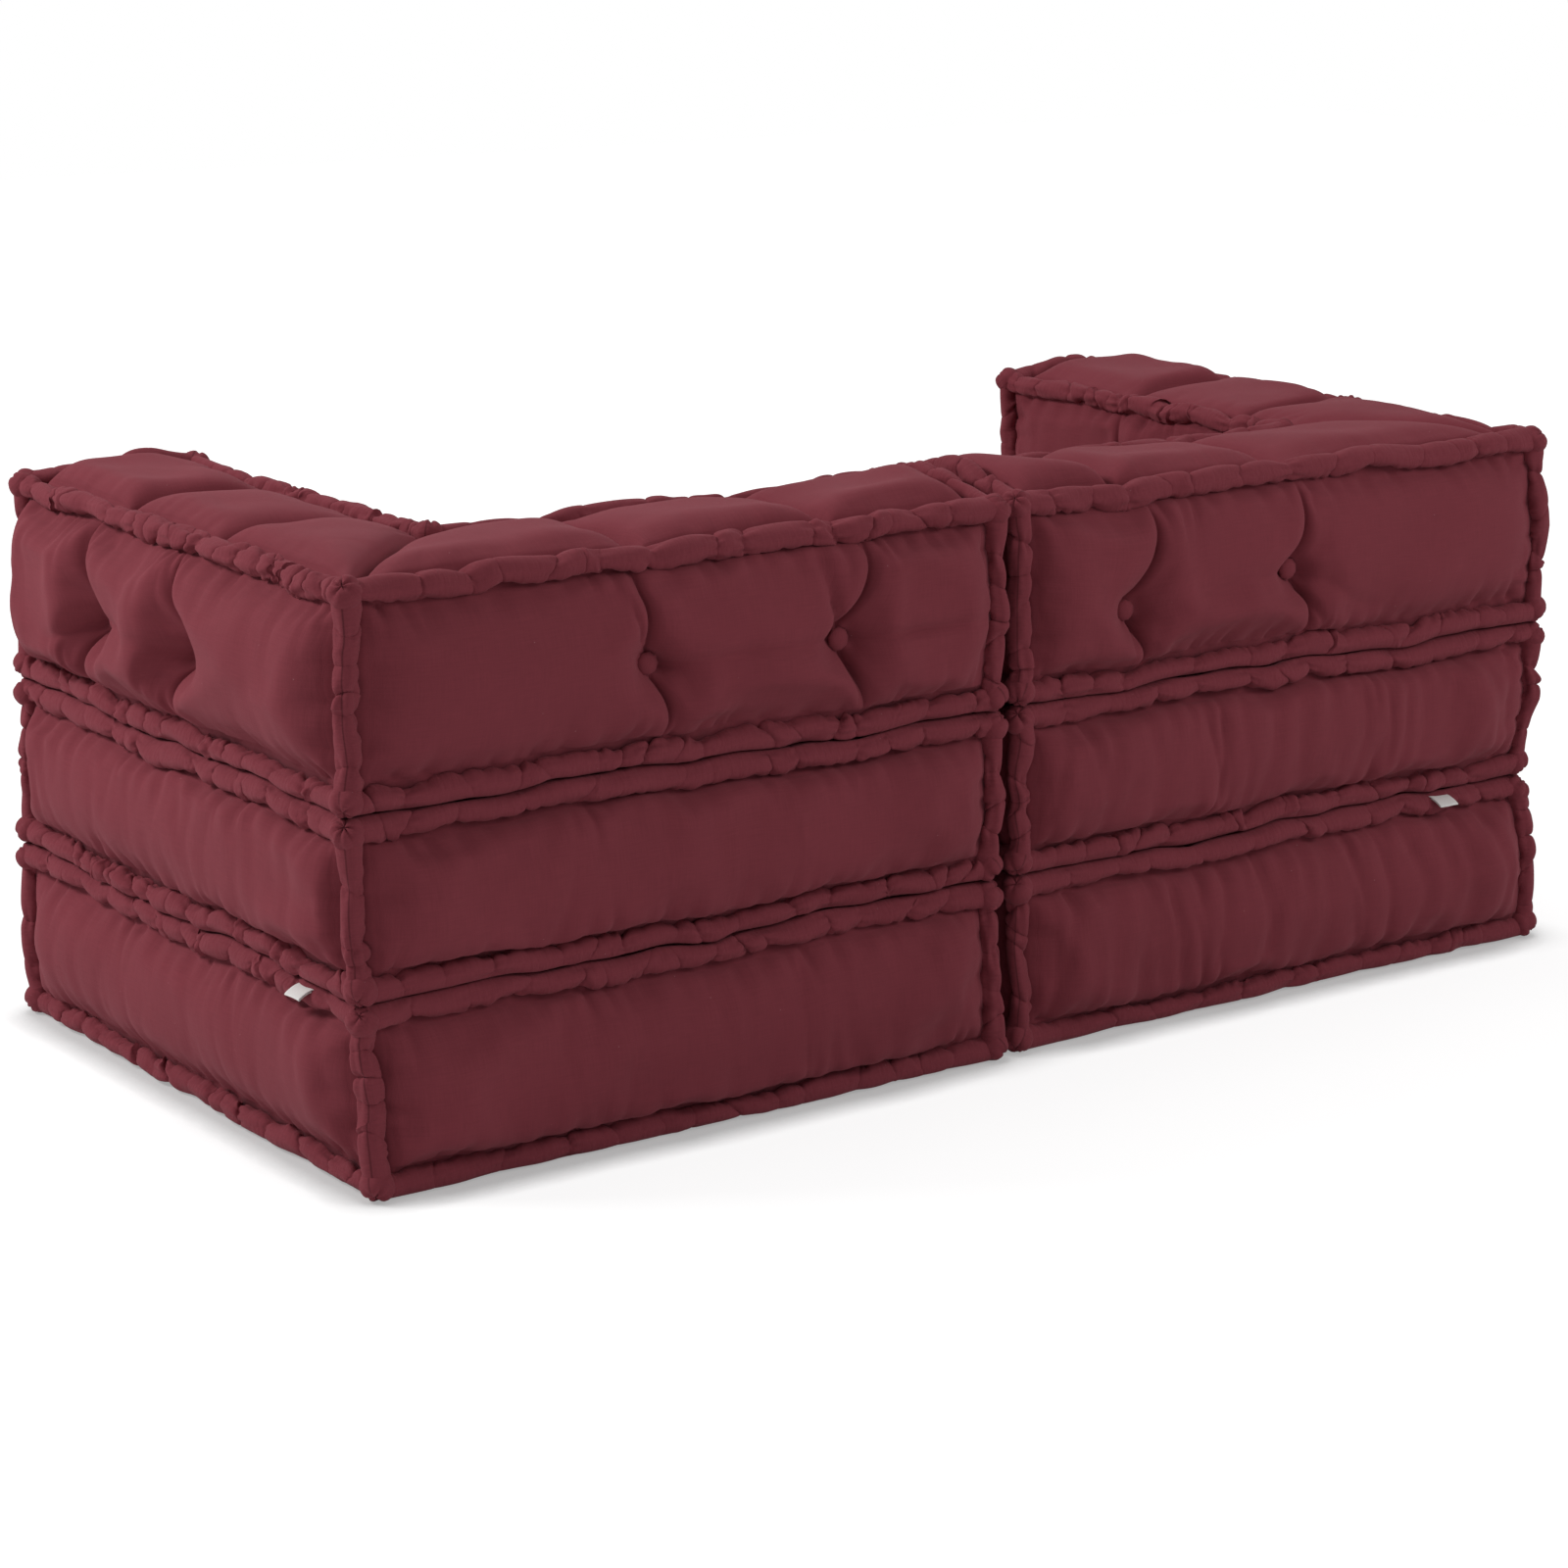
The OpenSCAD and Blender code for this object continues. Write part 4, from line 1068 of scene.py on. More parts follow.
def soften(grid, passes):
    """A grid averaged with its four neighbours the given number of times; its border keeps its values."""
    for _ in range(passes):
        inner = 0.5 * grid[1:-1, 1:-1] + 0.125 * (
            grid[:-2, 1:-1] + grid[2:, 1:-1] + grid[1:-1, :-2] + grid[1:-1, 2:])
        middle = np.concatenate([grid[1:-1, :1], inner, grid[1:-1, -1:]], 1)
        grid = np.concatenate([grid[:1], middle, grid[-1:]])
    return grid


def add_moves(arrays, moves, times):
    """Adds the simulated movement to a finer cover, softened so that the coarser cloth's folds don't show."""
    top, rows = soften(moves[0], SOFTEN_TOP), soften(moves[2], SOFTEN_SIDES)
    top = between(between(top, times, 0), times, 1)
    rows = between(between(rows[1:-1], times, 0), times, 1, closed=True)
    return arrays[0] + top, arrays[1], arrays[2] + np.pad(rows, ((1, 1), (0, 0), (0, 0)))


# A cover keeps this far from the planes where cushions rest on each other, and passes its swell by
# no more than this where the modules meet
COVER_GAP, MEETING_ROOM = 0.3, 1.5


def keep_clear(arrays, tier, s):
    """Keeps a cover on its own side of the planes where cushions rest and where the modules meet."""
    top, low, rows = arrays
    z0, h = tier_span(tier)
    if tier == "base":
        top[..., 2] = np.minimum(top[..., 2], z0 + h - COVER_GAP)
    elif tier == "seat":
        rest = np.where(seat_covered(top[..., 0], top[..., 1], s) > 0.5, z0 + h - COVER_GAP, np.inf)
        top[..., 2] = np.minimum(top[..., 2], rest)
    low[..., 2] = np.maximum(low[..., 2], z0 + COVER_GAP)
    rows[..., 0] = np.maximum(rows[..., 0], -s["joint_swell"] - MEETING_ROOM)
    return top, low, rows


class SOFA_OT_covers(bpy.types.Operator):
    """Make the six quilted cushion covers"""

    bl_idname = "sofa.covers"
    bl_label = "Cushion covers"

    def execute(self, context):
        s = sizes()
        cloth = cotton_material("cover_cotton", context.scene.sofa_cloth.cover_colour, False)
        moves = swell_covers(s)
        for side, tier in CUSHIONS:
            arrays, _ = cover_arrays(side, tier, s, FINER, True)
            if moves:
                arrays = add_moves(arrays, moves[side, tier], FINER)
            shell = skin(*keep_clear(arrays, tier, s))
            piece = cushion_piece((side, tier), "cushion_cover", "cover", cloth, shell, s)
        return {"FINISHED"}


# Edge rolls

# Shares of a puff at which a roll has rings, which stand closer beside the pinches
PUFF_STEPS = np.array([0.0, 0.018, 0.045, 0.085, 0.14, 0.2, 0.27, 0.34, 0.42, 0.5, 0.58, 0.66,
                       0.73, 0.8, 0.86, 0.915, 0.955, 0.982])
ROLL_AROUND = 30
# Strength of the pinch where a tuft's crease meets a roll; the others have from 0.3 to 1.3
MARK_STRENGTH = 1.7
# Least and largest share of the spacing from one pinch to the next, and the share kept clear of a mark
PINCH_NEAR, PINCH_FAR, PINCH_CLEAR = 0.42, 1.62, 0.4
# How far a pinch runs askew, as a share of the radius, how far the middle line wanders, and how much
# lower it lies at a strong pinch
SKEW, WANDER, PINCH_DROP = 0.75, (1.3, 1.8), 1.6
# Ripples of the roll's section, as shares of its radius: oval and with three sides
OVAL, THREE_SIDED = 0.05, 0.025
# The rings of a roll stand square to it at its ends, and turn to the full within this
SQUARE_END = 10.0
# Folds beside a pinch: their share of its depth, and their reach along the roll
FOLD_SHARE, FOLD_REACH = 0.36, 13.0
# Notches on the tight sides of a roll: spacing, share of the radius, and the angle they reach
NOTCH_SPACING, NOTCH_DEPTH, NOTCH_ANGLE = 21.0, 0.322, 0.75
LEAST_RADIUS = 0.52
# Share of the way to the plane it rests against that each ring is moved, and its distance from there
SETTLED, ROLL_GAP = 0.92, 0.2


def pinch_places(pick, length, spacing, marks):
    """Places and strengths of a roll's pinches: about one spacing apart and at the marks, with both ends."""
    places, strong, here = [0.0], [0.0], 0.0
    while True:
        here += spacing * pick.uniform(PINCH_NEAR, PINCH_FAR)
        if here > length - PINCH_CLEAR * spacing:
            break
        places.append(here)
        strong.append(pick.choice([pick.uniform(0.3, 0.75), pick.uniform(0.8, 1.3)]))
    for mark in sorted(marks):
        clear = PINCH_CLEAR * spacing
        kept = [(p, q) for p, q in zip(places, strong) if abs(p - mark) > clear or p == 0]
        places, strong = zip(*kept, (mark, MARK_STRENGTH))
    order = np.argsort(places)
    return np.append(np.array(places)[order], length), np.append(np.array(strong)[order], 0.0)


def roll_tube(start, end, outward, up, s, seed, spacing, depth, tight, marks=(), seam=0.5, rest=(None, None)):
    """One stretch of stuffed roll, as a tube of seeded puffs between pinches.

    Between pinches the radius is R (1 - d + d (4 u (1 - u)) ** p), with u the share of the puff, p from
    0.32 to 0.62 and d the pinch's depth, deeper on one side of the roll. Beside a pinch the cloth
    gathers in folds along the roll, as the absolute sine of the angle, that die out along it. The
    pinches run askew round the roll and the tube's rings turn with them. The middle line wanders a
    little. The cloth's measure round the roll begins at the given share of the girth from its outside,
    where its seam lies. On the tight sides, where a panel is sewn on, small notches cut in.
    """
    pick = np.random.default_rng(seed)
    start, end = np.asarray(start, float), np.asarray(end, float)
    length = np.linalg.norm(end - start)
    along = (end - start) / length
    n1, n2 = np.asarray(outward, float), np.asarray(up, float)
    places, strong = pinch_places(pick, length, spacing, marks)
    count = len(places)
    skew = pick.uniform(-SKEW, SKEW, count) * s["roll_radius"]
    turn = pick.normal(0.5, 1.1, count)
    wander = pick.normal(0, WANDER, (count, 2))
    wander[:, 1] -= PINCH_DROP * strong
    wander[[0, -1]] = 0
    power = pick.uniform(0.32, 0.62, count)
    size = pick.uniform(0.74, 0.96, count)
    oval, three = pick.uniform(0, 2 * math.pi, count), pick.uniform(0, 2 * math.pi, count)
    folds = pick.integers(4, 8, count)
    bend = pick.uniform(0, 2 * math.pi, count)
    # One row to each ring of the tube, and one column to each point round it
    u = np.append(np.tile(PUFF_STEPS, count - 1), 1.0)[:, None]
    before = np.append(np.repeat(np.arange(count - 1), len(PUFF_STEPS)), count - 2)[:, None]
    after = before + 1
    stretch = places[after] - places[before]
    at = places[before] + stretch * u
    phi = ring(ROLL_AROUND)

    def at_pinch(values):
        return mix(values[before], values[after], smooth(u))

    reach = [depth * strong[n] * (0.6 + 0.4 * np.cos(phi - turn[n])) for n in (before, after)]
    hollow = 1 - np.maximum(0.0, 4 * u * (1 - u)) ** power[before]
    radius = (1 - np.where(u > 0.5, reach[1], reach[0]) * hollow) * at_pinch(size)
    radius += OVAL * np.sin(2 * phi + at_pinch(oval)) + THREE_SIDED * np.sin(3 * phi + at_pinch(three))
    for n, gone in ((before, u * stretch), (after, (1 - u) * stretch)):
        ripple = np.abs(np.sin(0.5 * folds[n] * phi + bend[n])) - 0.6
        radius += FOLD_SHARE * depth * strong[n] * ripple * bell(gone, FOLD_REACH)
    notches = pleats(at, 0.0, length, seed + 7, NOTCH_SPACING, NOTCH_DEPTH, 1.0)
    for side in tight:
        radius += notches * bell(half_turn(phi - side), NOTCH_ANGLE)
    radius = np.maximum(radius, LEAST_RADIUS) * s["roll_radius"]
    slide = at_pinch(skew) * np.sin(phi - at_pinch(turn))
    slide *= np.clip(np.minimum(at, length - at) / SQUARE_END, 0, 1)
    drift = mix(wander[before[:, 0]], wander[after[:, 0]], smooth(u))
    spot = start + along * at + n1 * drift[:, :1] + n2 * drift[:, 1:]
    points = spot[:, None] + along * slide[..., None] + spokes(n1, n2, phi) * radius[..., None]
    # Each ring is lowered or raised to the plane that the roll rests against
    if rest[0] is not None:
        points[..., 2] -= SETTLED * (points[..., 2].min(1, keepdims=True) - rest[0])
    if rest[1] is not None:
        points[..., 2] += SETTLED * (rest[1] - points[..., 2].max(1, keepdims=True))
    length_at = at + slide
    round_roll = (np.arange(ROLL_AROUND + 1) / ROLL_AROUND + seam) * s["roll_radius"] * 2 * math.pi
    return tube(points, tube_uv(np.concatenate([length_at, length_at[:, :1]], 1), round_roll))


# How far out along its axis a knob stands, and where the cloth's measure on it begins, in metres
KNOB_OUT, KNOB_UV_PLACE = 3.0, 3.0


def knob(middle, axis, size, seed):
    """The gathered knob where rolls meet: a ball cut by askew folds that run to its pole along axis."""
    pick = np.random.default_rng(seed)
    axis, side, other = frame_of(axis, (0.3, 0.2, 0.93))
    theta, phi = np.linspace(0.06, math.pi - 0.06, 17)[:, None], ring(ROLL_AROUND)
    radius = np.full((len(theta), ROLL_AROUND), 0.97)
    folds = pick.integers(5, 8)
    for n in range(folds):
        at = 2 * math.pi * (n + pick.uniform(-0.3, 0.3)) / folds + pick.uniform(-0.5, 0.5) * theta
        radius -= pick.uniform(0.12, 0.26) * bell(half_turn(phi - at), 0.2) * bell(theta, 1.7)
    radius -= 0.24 * bell(theta, 0.4)
    radius *= size * pick.uniform(0.96, 1.04)
    direction = np.cos(theta)[..., None] * axis + np.sin(theta)[..., None] * spokes(side, other, phi)
    points = np.asarray(middle, float) + KNOB_OUT * axis + direction * radius[..., None]
    return tube(points, tube_uv(theta * 16.0, np.arange(ROLL_AROUND + 1) * 3.4) + KNOB_UV_PLACE)


def loop_corners(tier, s):
    """Middles of the rolls round a cushion, anticlockwise from above, and its inner corner's number or -1."""
    w, d, t = s["width"], s["half_depth"], s["back_thickness"]
    if tier == "back":
        return np.array([(w - t, d - t), (w - t, -d), (w, -d), (w, d), (0, d), (0, d - t)], float), 0
    return np.array([(0, -d), (w, -d), (w, d), (0, d)], float), -1


LONG_EDGE = 300.0
# Mean space between a roll's pinches along an arm side, another long edge and a short edge, and the
# same for the upper rolls of a back; then that of the upright rolls
PINCH_SPACING, TOP_PINCH_SPACING, UPRIGHT_SPACING = (36.0, 45.0, 40.0), (30.0, 46.0, 42.0), 34.0
# Depth of the pinches along arms and inner edges, along other edges and in upright rolls
ARM_PINCH, EDGE_PINCH, UPRIGHT_PINCH = 0.6, 0.46, 0.56
ROLL_SEEDS = {"base": 2000, "seat": 3000, "back": 4000}


def edge_marks(side, here, there, s):
    """Distances along a back cushion's long edge at which tuft creases pinch its roll."""
    knots, _ = back_knots(side, s, 0.0)
    for axis, places in ((1, knots[1:3, 1]), (0, knots[4:6, 0])):
        if abs(here[axis] - there[axis]) > LONG_EDGE:
            return abs(places - here[axis])
    return ()


def cushion_rolls(side, tier, s):
    """All rolls and knobs of one cushion, in its module's own place."""
    z0, h = tier_span(tier)
    r, kr = s["roll_radius"], s["knob_radius"]
    corners, elbow = loop_corners(tier, s)
    seed = ROLL_SEEDS[tier] + (0 if side == "right" else 500)
    ends = z0 + r, z0 + h - r
    parts = []
    for k, (before, here, there) in enumerate(zip(np.roll(corners, 1, 0), corners, np.roll(corners, -1, 0))):
        length = np.linalg.norm(there - here)
        run = (there - here) / length
        arm = abs(run[0]) < 0.5
        kind = 2 if length <= LONG_EDGE else 0 if arm else 1
        inner = tier == "back" and k in (0, len(corners) - 1)
        covered = tier == "base" or (tier == "seat" and k in (1, 2))
        marks = edge_marks(side, here, there, s) if tier == "back" else ()
        for level, z in enumerate(ends):
            spacing = (TOP_PINCH_SPACING if tier == "back" and level else PINCH_SPACING)[kind]
            rest = (None, z0 + h - ROLL_GAP if covered else None) if level else (z0 + ROLL_GAP, None)
            parts.append(roll_tube(
                (*here, z), (*there, z), (run[1], -run[0], 0.0), (0, 0, 1), s, seed + 20 * k + level, spacing,
                ARM_PINCH if arm or inner else EDGE_PINCH, (math.pi, -math.pi / 2 if level else math.pi / 2),
                marks=marks, rest=rest))
        if k == elbow:
            for level, z in enumerate(ends):
                parts.append(knob((*here, z), (-0.5, -0.5, 1 if level else -1), r, seed + 400 + level))
            continue
        diagonal = np.array([*((here - before) / np.linalg.norm(here - before) - run), 0.0])
        diagonal /= np.linalg.norm(diagonal)
        parts.append(roll_tube(
            (*here, ends[0]), (*here, ends[1]), diagonal, np.cross((0, 0, 1), diagonal), s, seed + 200 + k,
            UPRIGHT_SPACING, UPRIGHT_PINCH, (0.75 * math.pi, -0.75 * math.pi), seam=0.0))
        for level, z in enumerate((z0 + kr, z0 + h - kr)):
            axis = diagonal + np.array([0, 0, 0.9 if level else -0.9])
            parts.append(knob((*here, z), axis, kr, seed + 300 + 10 * k + level))
    points, faces, uv = joined(parts)
    # Rolls flatten where cushions rest on each other and keep to their own side where the modules meet
    points[:, 2] = np.maximum(points[:, 2], z0 + ROLL_GAP)
    if tier != "back":
        points[:, 2] = np.minimum(points[:, 2], z0 + h - ROLL_GAP)
    points[:, 0] = np.maximum(points[:, 0], -kr - 0.5)
    return points, faces, uv


class SOFA_OT_edge_rolls(bpy.types.Operator):
    """Make the pinched edge rolls with their corner knobs"""

    bl_idname = "sofa.edge_rolls"
    bl_label = "Edge rolls"

    def execute(self, context):
        s = sizes()
        cloth = cotton_material("edge_cotton", context.scene.sofa_cloth.roll_colour, True)
        for cushion in CUSHIONS:
            shell = cushion_rolls(*cushion, s)
            piece = cushion_piece(cushion, "pinched_roll", "edge_roll", cloth, shell, s)
        return {"FINISHED"}


# Buttons, twine and cores

# How much deeper than its dimple a button sits
BUTTON_SINK = 1.0
# A button's outline: shares of its radius and height
BUTTON_ACROSS = np.array([0.06, 0.2, 0.38, 0.56, 0.72, 0.86, 0.95, 1.0, 0.98, 0.9, 0.6, 0.2, 0.06])
BUTTON_RISE = np.array([1.0, 0.985, 0.94, 0.86, 0.75, 0.58, 0.42, 0.25, 0.1, 0.0, -0.02, -0.02, -0.02])
BUTTON_AROUND, BUTTON_LIFT = 32, 0.3
# Twine: length of one turn, distance of a strand from the twine's middle, and a strand's radius
TWINE_TURN, STRAND_AWAY, STRAND_RADIUS, STRAND_AROUND = 9.0, 0.7, 0.8, 8


def tuft_axes(side, tier, s):
    """Each tuft's line through its cushion, from the seat of one button to that of the other."""
    if tier == "back":
        knots, _ = back_knots(side, s, 0.0)
        wide, hd, z = s["width"], s["half_depth"], tier_span("back")[0] + s["tuft_height"]
        outer = s["tuft_rest"] - s["sink"] - BUTTON_SINK
        inner = BUTTON_SINK - s["back_thickness"] - s["inner_tuft_rest"]
        ends = [((wide + inner, y, z), (wide + outer, y, z)) for y in knots[1:3, 1]]
        ends += [((x, hd + inner, z), (x, hd + outer, z)) for x in knots[4:6, 0]]
    else:
        z0, h = tier_span(tier)
        xs, ys = pouf_tuft_places(s)
        sunk = s["pouf_tuft_depth"] + BUTTON_SINK
        ends = [((x, y, z0 + sunk), (x, y, z0 + h - sunk)) for x in xs for y in ys]
    return np.array(ends, float)


def covered_button(seat, axis, s, seed):
    """A cloth-covered button: a dome turned round its axis, with fine gathers that die out inwards."""
    pick = np.random.default_rng(seed)
    axis, side, other = frame_of(axis)
    across, phi = BUTTON_ACROSS[:, None], ring(BUTTON_AROUND)
    gathers = 1 + across ** 3 * (0.035 * np.sin(9 * phi + pick.uniform(0, 6))
                                 + 0.02 * np.sin(14 * phi + pick.uniform(0, 6)))
    rise = BUTTON_RISE[:, None, None] * s["button_height"] + BUTTON_LIFT
    flat = s["button_radius"] * across
    points = seat + axis * rise + spokes(side, other, phi) * (flat * gathers)[..., None]
    closed = np.append(phi, 0.0)
    return tube(points, tube_uv(flat * np.cos(closed), flat * np.sin(closed)))


def twisted_twine(low, high):
    """Two strands wound round each other: each strand's middle is a helix round the tuft's line."""
    axis, side, other = frame_of(high - low)
    length = np.linalg.norm(high - low)
    at = np.linspace(0, length, max(20, int(length / 3.0)))
    parts = []
    for half in (0.0, math.pi):
        helix = spokes(side, other, at * 2 * math.pi / TWINE_TURN + half)
        spot = low + axis * at[:, None] + STRAND_AWAY * helix
        parts.append(tube(spot[:, None] + STRAND_RADIUS * spokes(side, other, ring(STRAND_AROUND))))
    return joined(parts)


# A filling block: how far its rounded edge draws in, its edge's share of the height, and its layers
CORE_INSET, CORE_EDGE, CORE_LAYERS = 6.5, 0.12, 5
# Its least distance in from there, the depth of its rounding, and that of the waves of its layers
CORE_IN, CORE_ROUNDING, CORE_WAVE = 1.5, 5.0, 0.8
# Its cells: their length along the L and its points across, and its points along a square's sides and up
CORE_CELL, CORE_ACROSS, CORE_POINTS, CORE_ROWS = 24.0, 7, 25, 19


def core_arrays(side, tier, s):
    """Top grid, bottom grid and side rows of a filling block.

    It has the frame core's outline with rounded edges, and its layers swell and dip by a cosine of
    the height.
    """
    low, high = (np.array(corner) * 1000.0 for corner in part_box(f"{side}_{tier}_core"))
    pad = s["half_depth"] - high[1]
    spans = np.hypot(*np.diff(back_knots(side, s, 0.0)[0], axis=0).T)
    counts = [max(4, int(n / CORE_CELL)) for n in spans]

    def plan(edge):
        if tier == "back":
            outer, inner = (knotted(k, counts) for k in back_knots(side, s, edge))
            return outer[:, None] + (inner - outer)[:, None] * np.linspace(0, 1, CORE_ACROSS)[None, :, None]
        xs, ys = (np.linspace(edge, size - edge, CORE_POINTS) for size in (s["width"], 2 * s["half_depth"]))
        return np.stack(np.meshgrid(xs, ys - s["half_depth"]), -1)

    flat, wide = plan(pad + CORE_INSET), plan(pad)
    top, bottom = (np.concatenate([flat, np.full((*flat.shape[:2], 1), z)], -1) for z in (high[2], low[2]))
    i, j = rim_steps(flat.shape[0] - 1, flat.shape[1] - 1)
    levels = np.linspace(0, 1, CORE_ROWS)[1:-1]
    inward = CORE_IN + CORE_ROUNDING * (1 - puff(np.minimum(levels, 1 - levels) / CORE_EDGE))
    inward += CORE_WAVE * np.cos(levels * 2 * math.pi * CORE_LAYERS)
    rim = mix(wide[i, j][None], flat[i, j][None], inward[:, None, None] / CORE_INSET)
    heights = mix(low[2], high[2], levels)[:, None, None]
    return top, bottom, np.concatenate([rim, np.broadcast_to(heights, (*rim.shape[:2], 1))], -1)


class SOFA_OT_tufts(bpy.types.Operator):
    """Make the covered buttons and the twisted tufting twine"""

    bl_idname = "sofa.tufts"
    bl_label = "Buttons and twine"

    def execute(self, context):
        s = sizes()
        cloth = cotton_material("button_cotton", context.scene.sofa_cloth.roll_colour, False)
        tan = plain_cloth("tufting_twine", (0.45, 0.32, 0.17), 600.0, 0.8, 0.6)
        for cushion in CUSHIONS:
            buttons, twines = [], []
            for n, (low, high) in enumerate(tuft_axes(*cushion, s)):
                buttons.append(covered_button(low, low - high, s, 20 * n + 1))
                buttons.append(covered_button(high, high - low, s, 20 * n + 2))
                twines.append(twisted_twine(low, high))
            cushion_piece(cushion, "covered_buttons", "buttons", cloth, joined(buttons), s)
            cushion_piece(cushion, "twisted_twine", "tuft_twine", tan, joined(twines), s)
        return {"FINISHED"}


class SOFA_OT_cores(bpy.types.Operator):
    """Make the filling blocks inside the cushions"""

    bl_idname = "sofa.cores"
    bl_label = "Filling cores"

    def execute(self, context):
        s = sizes()
        felt = plain_cloth("core_filling", (0.71, 0.64, 0.45), 60.0, 0.85, 0.8)
        for cushion in CUSHIONS:
            points, faces, _ = skin(*core_arrays(*cushion, s))
            piece = cushion_piece(cushion, "filling", "core", felt, (points, faces, None), s)
        return {"FINISHED"}


# Labels

# The tape's folded length, its width, its thickness and the gap in the fold
TAPE_LENGTH, TAPE_WIDTH, TAPE_THICK, TAPE_GAP = 18.0, 26.0, 0.6, 0.8
# How far over the base's upper roll and outside its middle a label hangs, and its place from the corner
LABEL_RISE, LABEL_OUT, LABEL_FROM_CORNER = 8.0, 4.0, {"right": 87.0, "left": 117.0}


def folded_tape(seed):
    """A blank tape folded once, as rings of points across its width, with a slight curl.

    Its profile runs out from the seam, round the fold and back, first outside and then inside.
    """
    bend = TAPE_THICK + TAPE_GAP / 2
    straight = np.linspace(0.0, TAPE_LENGTH - bend, 10)
    turn = np.linspace(-math.pi / 2, math.pi / 2, 9)[1:-1]
    level = np.ones(len(straight))
    outs, ups = [], []
    for radius, way in ((bend, 1), (bend - TAPE_THICK, -1)):
        outs.append(np.concatenate([straight, straight[-1] + radius * np.cos(turn), straight[::-1]])[::way])
        ups.append((bend + radius * np.concatenate([-level, np.sin(turn), level]))[::way])
    x, z = np.concatenate(outs), np.concatenate(ups)
    y = np.linspace(-TAPE_WIDTH / 2, TAPE_WIDTH / 2, 15)[:, None]
    curl = -0.022 * x ** 2 + 0.02 * x * np.sin(y / 7.0 + seed)
    return np.stack(np.broadcast_arrays(x, y, z + curl), -1)


class SOFA_OT_labels(bpy.types.Operator):
    """Make the two blank folded labels"""

    bl_idname = "sofa.labels"
    bl_label = "Labels"

    def execute(self, context):
        s = sizes()
        tape = plain_cloth("label_tape", context.scene.sofa_cloth.label_colour, 900.0, 0.6, 0.3)
        height = tier_span("base")[1] - s["roll_radius"] + LABEL_RISE
        for side in SIDES:
            points, faces, _ = tube(folded_tape(1.0 if side == "right" else 2.5))
            out, across, up = points.T
            if side == "right":
                x, y = s["width"] + LABEL_OUT + out, s["half_depth"] - LABEL_FROM_CORNER[side] + across
            else:
                x, y = s["width"] - LABEL_FROM_CORNER[side] - across, s["half_depth"] + LABEL_OUT + out
            points = place(np.stack([x, y, height + up], -1), side, s)
            mesh = fill_mesh(f"{side}_folded_label", points, faces)
            piece = add_piece(mesh, f"{side}_base", f"{side}_label", tape)
        return {"FINISHED"}


# Materials

class Nodes:
    """Adds nodes to a shader tree. An input takes an output of another node, or a plain value."""

    def __init__(self, tree):
        self.tree = tree

    def put(self, value, socket):
        """Links or sets one input."""
        if isinstance(value, bpy.types.NodeSocket):
            self.tree.links.new(value, socket)
        else:
            socket.default_value = value

    def add(self, kind, inputs=None, **settings):
        """A node with its settings, and its inputs by name or number."""
        node = self.tree.nodes.new("ShaderNode" + kind)
        for name, value in settings.items():
            setattr(node, name, value)
        for name, value in (inputs or {}).items():
            self.put(value, node.inputs[name])
        return node

    def maths(self, operation, *values):
        """The result of a sum on numbers."""
        return self.add("Math", dict(enumerate(values)), operation=operation).outputs[0]

    def stretch(self, vector, scale):
        """A vector times three numbers."""
        return self.add("VectorMath", {0: vector, 1: scale}, operation="MULTIPLY").outputs[0]

    def remap(self, value, start, end, low, high):
        """A value between start and end, moved to between low and high and kept there."""
        return self.add("MapRange", {
            "Value": value, "From Min": start, "From Max": end, "To Min": low, "To Max": high}).outputs[0]

    def noise(self, vector, scale, detail, distortion=0.0):
        """Soft noise from 0 to 1."""
        return self.add("TexNoise", {
            "Vector": vector, "Scale": scale, "Detail": detail, "Distortion": distortion}).outputs["Fac"]

    def blend(self, share, first, second, blend_type="MIX"):
        """Two colours mixed by a share."""
        inputs = {"Factor": share, 6: first, 7: second}
        return self.add("Mix", inputs, data_type="RGBA", blend_type=blend_type).outputs[2]

    def bump(self, height, strength, distance, normal=None):
        """A surface raised by the height, on top of another such surface."""
        under = {} if normal is None else {"Normal": normal}
        return self.add("Bump", {
            "Height": height, "Strength": strength, "Distance": distance, **under}).outputs[0]


def node_group(name, inputs, outputs, build):
    """A shader node group, made once."""
    if name in bpy.data.node_groups:
        return bpy.data.node_groups[name]
    group = bpy.data.node_groups.new(name, "ShaderNodeTree")
    for label, kind in inputs.items():
        group.interface.new_socket(label, in_out="INPUT", socket_type=kind)
    for label in outputs:
        group.interface.new_socket(label, in_out="OUTPUT", socket_type="NodeSocketFloat")
    build(Nodes(group), group.nodes.new("NodeGroupInput").outputs, group.nodes.new("NodeGroupOutput").inputs)
    return group


